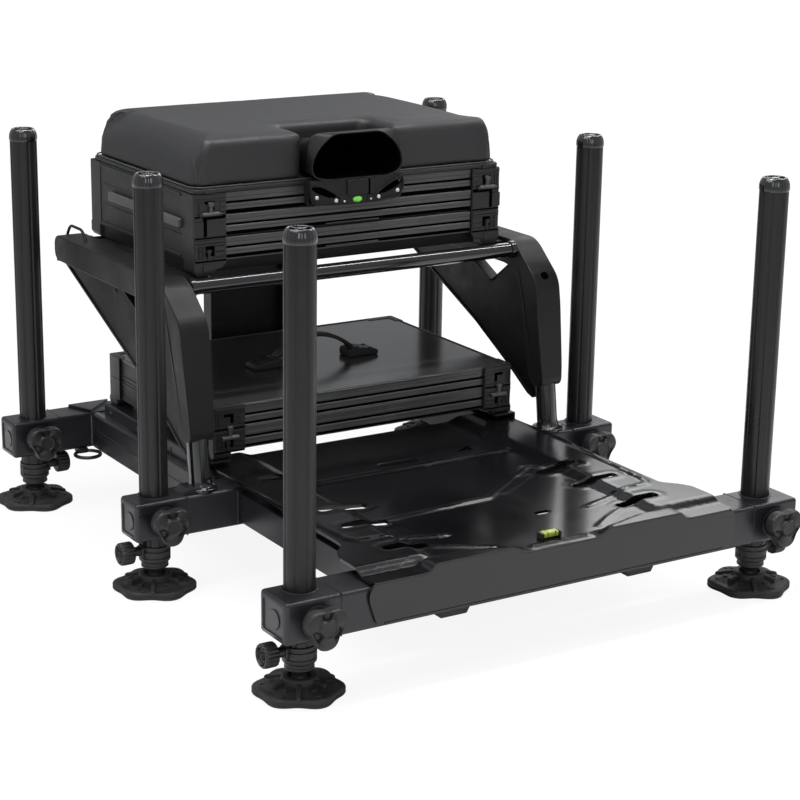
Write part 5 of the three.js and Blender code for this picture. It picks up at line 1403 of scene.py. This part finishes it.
def dressed(at):
    """Crown, puckers and drawn-in corners of the cover, on points in millimetres."""
    x, y, z = at[:, 0].copy(), at[:, 1].copy(), at[:, 2].copy()
    # gentle crown over the middle
    across, along_y = np.clip(1 - (x / 226) ** 2, 0, 1), np.clip(1 - ((y - 225) / 150) ** 2, 0, 1)
    upper_share = smooth_step((z - 505) / 35.0)
    z += 1.8 * across * along_y * upper_share
    # small puckers that run out from the corners of the hood's recess
    corner = np.hypot(np.abs(x + HOOD_OFFSET) - 78, y - 78)
    pucker = np.exp(-corner / 10.0) * upper_share
    z -= 1.5 * pucker * (0.5 + 0.5 * np.sin(np.arctan2(y - 78, np.abs(x + HOOD_OFFSET) - 78) * 7.0))
    edge = np.hypot(np.maximum(np.abs(x + RECESS_OFFSET) - 70, 0), np.maximum(y - 146, 0))
    z -= 1.2 * np.exp(-edge / 16.0) * upper_share * smooth_step((y - 100) / 30.0)
    # stitched corners draw the cover in a little
    for sx in (-1, 1):
        for cy in (82.6, 367.6):
            near = np.exp(-np.hypot(x - sx * 222, y - cy) / 7.0)
            x -= sx * 0.7 * near * smooth_step((530 - z) / 16.0)
    return np.stack([np.clip(x, -231.6, 231.6), np.clip(y, 72.6, 381.0), np.clip(z, 486.6, 549.4)], axis=1)


def corner_seam(tree, s, near_y, ahead, lean):
    """A seam up a corner of the cover, laid where rays from outside meet it; None where too few do."""
    line = []
    for t in np.linspace(0, 1, 26):
        z = 489.5 + 34.0 * t
        spread = lean * (1.2 + 4.6 * t ** 2)
        start = Vector((s * (246 + spread), near_y + ahead * (19 - spread), z + 6)) * MM
        toward = Vector((s * (196 + spread), near_y - ahead * (31 + spread), z - 6)) * MM
        hit = tree.ray_cast(start, (toward - start).normalized())
        if hit[0] is not None:
            line.append(hit[0] / MM)
    return swept(circle(0.62, 8), along(line, (s, 0, 0))) if len(line) > 4 else None


def cushion():
    """Padded seat with a rolled edge, and the seams and the welt that lie on its cover."""
    base = extruded("z", rounded(CUSHION_PLAN, CUSHION_CORNERS, 8), 487.2, CUSHION_TOP)
    form, mesh, at = swollen(base, 2.6, rolled_edge)
    mesh.vertices.foreach_set("co", (dressed(at / MM) * MM).ravel())
    mesh.update()
    bm = bmesh.new()
    bm.from_mesh(mesh)
    bpy.data.objects.remove(form)
    tree = BVHTree.FromBMesh(bm)
    pad = piece("padded_seat", bm, "seat_lid", LEATHER, "cushion", crease=80, weighted=False)
    finer = pad.modifiers.new("finer", "SUBSURF")
    finer.levels = finer.render_levels = 1

    seams = [corner_seam(tree, s, near_y, ahead, lean)
             for s in (-1, 1) for near_y, ahead in ((74.0, -1), (380.0, 1)) for lean in (-1, 1)]
    threads = [seam for seam in seams if seam is not None]
    welt = rounded([(-230.8, 73.4), (230.8, 73.4), (230.8, 380.6), (-230.8, 380.6)], 22.0, 8)
    threads.append(swept(circle(1.1, 12), closed_line(welt, 488.0)))
    piece("cushion_seams", joined(*threads), "seat_lid", THREAD, crease=60, weighted=False)


# Sections of the hood from its closed end over the rim and back along the inside, each with its half width,
# floor, top, y and how full its shoulders are; then those of the near-black skin inside it, painted shade in the
# throat.
HOOD_SHELL = [
    (42, 489, 524, 154, 0.6), (46, 488.6, 527, 152.5, 0.6), (52, 488, 532, 120, 0.7), (58, 487.4, 538, 94, 0.8),
    (64, 487, 544.6, 74, 0.9), (68.4, 486.8, 547.6, 62, 1.0), (69.0, 486.8, 547.8, 60.4, 0.96),
    (69.4, 486.8, 548.2, 51.4, 0.0), (69.4, 486.8, 548.6, 50.4, 0.0), (69.0, 487.0, 548.4, 49.6, 0.0),
    (68.0, 488.0, 547.4, 49.4, 0.0), (67.4, 488.6, 546.8, 50.4, 0.0), (62, 489.6, 541.5, 72, 0.0),
    (56, 490.2, 536, 94, 0.0), (48, 490.8, 528.4, 130, 0.0), (40, 492, 522, 147, 0.0),
]
HOOD_SHADE_RINGS = [
    (67.0, 489.0, 546.4, 51.6, 0.0), (61.4, 490.2, 540.9, 72, 0.0), (55.4, 490.8, 535.4, 94, 0.0),
    (47.4, 491.4, 527.8, 130, 0.0), (39.4, 492.6, 521.4, 146.4, 0.0),
]


def hood_section(half, base, top, y, square):
    """The hood from the front: level floor, sloping shoulders that square fills out, narrow level top."""
    k, rise = half / 69.0, (top - base) / 62.0
    right = [(48, 0), (64, 5), (69, 16 + 6 * square), (66 + 3 * square, 31 + 12 * square),
             (55 + 10 * square, 47 + 11 * square), (36 + 18 * square, 61 + square)]
    outline = right + [(-u, v) for u, v in reversed(right)]
    return [(u * k - HOOD_OFFSET, y, base + v * rise) for u, v in rounded(outline, 9.0, 5)]


def hood_lip():
    """Lower front lip: a plate with an oval slot in each ear, the level's cradle and raised rims."""
    loops = [rounded([(-70.6, 488.6), (-71.4, 470), (-66, 456.5), (-24, 453.4), (24, 453.4), (66, 456.5),
                      (71.4, 470), (70.6, 488.6)], 5.0)]
    for s in (-1, 1):
        middle, away = Vector((s * 50, 472.4)), Vector((s * 18.0, 7.0))
        normal = Vector((-away.y, away.x)).normalized() * 4.3
        lens = [middle - away - normal * 0.3, middle - away * 0.5 - normal, middle + away * 0.5 - normal,
                middle + away - normal * 0.3, middle + away + normal * 0.3, middle + away * 0.5 + normal,
                middle - away * 0.5 + normal, middle - away + normal * 0.3]
        loops.append(rounded([tuple(p) for p in lens], 3.0, 3))
    plate = drawn(loops, lambda px, pz: (px - HOOD_OFFSET, 50.2, pz))
    bmesh.ops.triangle_fill(plate, edges=plate.edges[:], use_beauty=True, use_dissolve=True, normal=(0, -1, 0))
    thickened(plate, (0, 5.0, 0))
    soften(plate, 0.8, 2, 60)
    shapes = [plate, block(-75, 63, 60, 69.4, 455, 487, 1.5), block(-72, 60, 55, 62, 484, 488, 1.0)]
    # near-black block behind the plate: painted shade seen through its slots
    piece("hood_lip_shade", block(-73, 61, 56.5, 59.8, 457, 486, 0.5, 1), "seat_lid", PAINTED_SHADE)
    # cradle of the level: two cheeks either side, and a near-black block in the gap between the two halves as
    # painted shade
    shapes.append(block(-22, 9.8, 47.9, 52, 466.0, 485.8, 1.0, 3))
    shapes.append(block(12.6, 18.5, 48.2, 52, 466.0, 484.8, 1.0, 3))
    piece("hood_cradle_split_shade", block(9.4, 13.0, 49.4, 51, 465.0, 485.0, 0.1, 1), "seat_lid", PAINTED_SHADE)
    for s in (-1, 1):
        shapes.append(block(s * 14.5 - 6, s * 27 - 6, 48.9, 52, 455.4, 462.4, 1.6, 3))
        rim = [(26, 463.5), (36, 470.6), (52, 479.6), (66.5, 485.6), (69.8, 480), (69.0, 468), (62, 459.4),
               (34, 456.2), (26.4, 457.6), (26, 463.5), (36, 470.6)]
        shapes.append(swept(circle(1.2, 8), along([(s * u - HOOD_OFFSET, 49.6, v) for u, v in rim], (0, 1, 0))))
    piece("hood_lip", joined(*shapes), "seat_lid", CAST, crease=44)


def pole_hood():
    """Funnel on the lid's front with a near-black skin inside as painted shade in its throat, its lip, six
    screws and the level's vial.
    """
    shell, dark = ([hood_section(*row) for row in rows] for rows in (HOOD_SHELL, HOOD_SHADE_RINGS))
    piece("hood_funnel", lofted(shell), "seat_lid", CAST, "pole_hood", crease=50)
    # near-black skin inside the funnel, closed on itself: painted shade in the throat
    inner = [[((u + HOOD_OFFSET) * 0.985 - HOOD_OFFSET, y - 0.2, v) for u, y, v in ring] for ring in dark]
    piece("hood_inner_shade", lofted(list(reversed(dark)) + inner), "seat_lid", PAINTED_SHADE, crease=60)
    hood_lip()
    screws = []
    for s in (-1, 1):
        for px, pz, r in ((32, 460.4, 2.7), (61.0, 466.4, 2.7), (20, 458.6, 1.5)):
            head = [(0, -1.4), (r * 0.5, -1.3), (r * 0.85, -0.9), (r, -0.2), (r, 0.6), (0, 0.6)]
            screws.append(turned(head, 24, (s * px - HOOD_OFFSET, 49.4, pz), "y"))
    piece("hood_screws", joined(*screws), "seat_lid", STEEL, crease=50)
    vial = turned([(0, -2.4), (1.6, -2.3), (3.0, -1.7), (3.9, -0.8), (4.1, 0.4), (4.1, 3.6), (0, 4.0)], 32,
                  (0, 49.8, 459.8), "y")
    for v in vial.verts:
        v.co.x = v.co.x * 1.7 - HOOD_OFFSET * MM
    piece("hood_level", vial, "seat_lid", GREEN, "hood_vial", crease=60)


def corner_catch(name, node, body, x, y, level):
    """Catch on its pin: a broad heel, a narrow stem and a small square tip with grip ribs."""
    barrel = turned([(0, -12), (2.6, -12), (3.0, -11.6), (3.0, 11.6), (2.6, 12), (0, 12)], 24,
                    (x, y - 2.2, level + 0.6), "x")
    right = [(12, -1.6), (12, 1.6), (10.6, 2.8), (3.2, 3.2), (2.2, 4.4), (2.2, 11.0), (3.6, 11.4), (3.8, 15.4),
             (3.0, 16.2)]
    outline = [(-12, -1.6)] + right + [(-across, up) for across, up in reversed(right[1:])]
    plate = extruded("y", [(x + across, level + up) for across, up in outline], y - 4.2, y - 1.0, 0.6, 2)
    shapes = [barrel, plate, block(x - 3.4, x + 3.4, y - 5.3, y - 4.0, level + 11.6, level + 15.4, 0.5, 2)]
    piece(name, joined(*shapes), body, RIBBED, node, crease=40)


# ---------------------------------------------------------------- cassette box

def cassette_tray():
    """Open tray with three dividers, a grooved front and corners on feet."""
    walls = [block(-226, 226, 31, 346, 153.2, 155, 0.5, 1), block(-227, 227, 344, 347, 153.2, 183, 0.6)]
    for s in (-1, 1):
        walls.append(block(s * 224, s * 227, 31, 346, 153.2, 183, 0.6))
        walls.append(block(s * 226.4, s * 228, 62, 315, 176.4, 179.4, 0.5, 1))
        walls.append(block(s * 226.4, s * 227.8, 62, 315, 158.4, 160.8, 0.5, 1))
    for x in (-112, 0, 112):
        walls.append(block(x - 0.8, x + 0.8, 34, 344, 154, 178, 0.3, 1))
    piece("cassette_shell", joined(*walls), "cassette", MOULDED, "cassette_tray", crease=36)
    band = joined(grooved_band(30.0, 4.0, 153.2, 182.8, 185.2), block(-185, 185, 29.6, 33, 181.4, 183, 0.4, 1))
    piece("cassette_front_band", band, "cassette", RIBBED, crease=30)
    # near-black blocks in the band's gaps: painted shade
    piece("cassette_front_gap_shade", band_gap_shade(30.0, 153.2, 182.8, 185.0), "cassette", PAINTED_SHADE)

    half, front, rear = CASSETTE_BOX
    for side, s in SIDES.items():
        for tag, end in ENDS.items():
            y, k = front if end < 0 else rear, -end
            foot = [(y, 154), (y, 147), (y + k * 3.4, 143.4), (y + k * 23, 143.4), (y + k * 26, 147),
                    (y + k * 26, 154)]
            shapes = [corner_moulding(CASSETTE_BOX, s, end, 153, 183),
                      extruded("x", foot, *sorted((s * 205.5, s * half)), 1.2, 2)]
            if end < 0:
                shapes += corner_units(CASSETTE_BOX, s, [("hook", 153.6, 182.0)], f"cassette_{side}",
                                       "cassette")
            piece(f"cassette_corner_{tag}_{side}", joined(*shapes), "cassette", MOULDED, crease=36)


def cassette_lid():
    """Lid with a smooth top sheet in a raised rim, a grooved front, corners and the hinges of the box."""
    walls = [block(-227, 227, 340, 343.2, 183.4, 211, 0.6)]
    for s in (-1, 1):
        walls.append(block(s * 224, s * 227, 31, 341, 183.4, 211, 0.6))
        walls.append(block(s * 226.4, s * 228, 62, 312, 186.4, 189.4, 0.5, 1))
    piece("cassette_lid_walls", joined(*walls), "cassette_lid", MOULDED, crease=36)
    top = extruded("z", rounded([(-227.6, 29.4), (227.6, 29.4), (227.6, 343.0), (-227.6, 343.0)], 10.0, 6),
                   209.4, 212.3, 1.0, 3)
    piece("cassette_top_sheet", top, "cassette_lid", SATIN_AND_HIGHLIGHT, "cassette_lid", crease=40)
    line = closed_line(rounded([(-226.2, 31.0), (226.2, 31.0), (226.2, 341.6), (-226.2, 341.6)], 12.0, 6), 212.3)
    rim = swept(rounded([(-1.3, -0.9), (1.3, -0.9), (1.3, 0.9), (-1.3, 0.9)], 0.7, 2), line)
    # near-black blocks in the lid band's gaps: painted shade
    piece("cassette_lid_gap_shade", band_gap_shade(30.0, 183.6, 211.6, 185.0), "cassette_lid", PAINTED_SHADE)
    band = joined(grooved_band(30.0, 4.0, 183.6, 211.6, 185.2),
                  block(-185, 185, 29.6, 33, 183.4, 184.8, 0.4, 1), rim)
    piece("cassette_lid_band", band, "cassette_lid", RIBBED, crease=30)
    for side, s in SIDES.items():
        for tag, end in ENDS.items():
            shapes = [corner_moulding(CASSETTE_BOX, s, end, 183.3, 213.2)]
            if end < 0:
                shapes += corner_units(CASSETTE_BOX, s, [("catch", 184.2, 212.4)], f"cassette_lid_{side}",
                                       "cassette_lid")
            piece(f"cassette_lid_corner_{tag}_{side}", joined(*shapes), "cassette_lid", MOULDED, crease=36)
    for name, body, profile in (("cassette_hinge_moving", "cassette_lid", MOVING_KNUCKLE),
                                ("cassette_hinge_fixed", "cassette", FIXED_KNUCKLE)):
        piece(name, joined(*[knuckle(profile, s, 348, 183) for s in (-1, 1)]), body, STEEL, crease=40)


def carry_handle():
    """Flexible strap between two wedge-shaped lugs."""
    section = rounded([(-7.2, -2.5), (7.2, -2.5), (7.2, 2.5), (-7.2, 2.5)], 2.3, 4)
    path = [(-66 + 132 * t, 176, 217 + 32.6 * math.sin(math.pi * t) ** 0.7) for t in
            (0.5 - 0.5 * math.cos(math.pi * k / 44) for k in range(45))]
    shapes = [swept(section, along(path, (0, 1, 0)))]
    for offset in (-6.5, 6.5):
        line = [(px, 176 + offset * 0.7, pz + 2.3) for px, _, pz in path[5:-5]]
        shapes.append(swept(circle(0.7, 8), along(line, (0, 1, 0))))
    for s in (-1, 1):
        # the lug, the clip over the strap's end and two screws
        lug = [(50, 212.7), (98, 212.7), (98, 218.6), (92, 221.0), (72, 224.6), (62, 225.4), (53, 224.4),
               (50, 222.0)]
        shapes.append(extruded("y", [(s * across, up) for across, up in lug], 162, 190, 1.8, 3))
        shapes.append(block(s * 56, s * 68, 164.5, 187.5, 222.5, 226.6, 1.4, 3))
        for y in (167, 185):
            screw = [(0, 223.4), (2.4, 223.2), (3.3, 222.4), (3.4, 213), (0, 213)]
            shapes.append(turned(screw, 20, (s * 86, y, 0)))
    piece("carry_strap", joined(*shapes), "cassette_lid", MOULDED, "cassette_handle", crease=44)


# ---------------------------------------------------------------- the whole object

set_camera()
set_light()
set_floor()
for row in ROWS:
    for side in SIDES:
        leg_tube(row, side)
        leg_plug(row, side)
        clamp_knob(row, side)
        foot_socket(row, side)
        foot_knob(row, side)
        mud_foot(row, side)
front_rail()
middle_rail()
rear_rail()
footplate()
for side in SIDES:
    side_rail(side)
    runner(side)
    side_tube(side)
    bracket_cover(side)
    bracket_web(side)
    if side == "right":
        bracket_bolt()
cross_tubes()
rear_pillar()
seat_case()
drawer("lower", 395.0, 30.0)
drawer("upper", 425.0, 29.0)
seat_lid()
cushion()
pole_hood()
cassette_tray()
cassette_lid()
carry_handle()
for side, s in SIDES.items():
    corner_catch(f"seat_hook_{side}", f"seat_catch_{side}", f"seat_catch_{side}", s * 210, 70, 454)
    corner_catch(f"cassette_hook_{side}", f"cassette_catch_{side}", f"cassette_catch_{side}", s * 208, 26, 172)
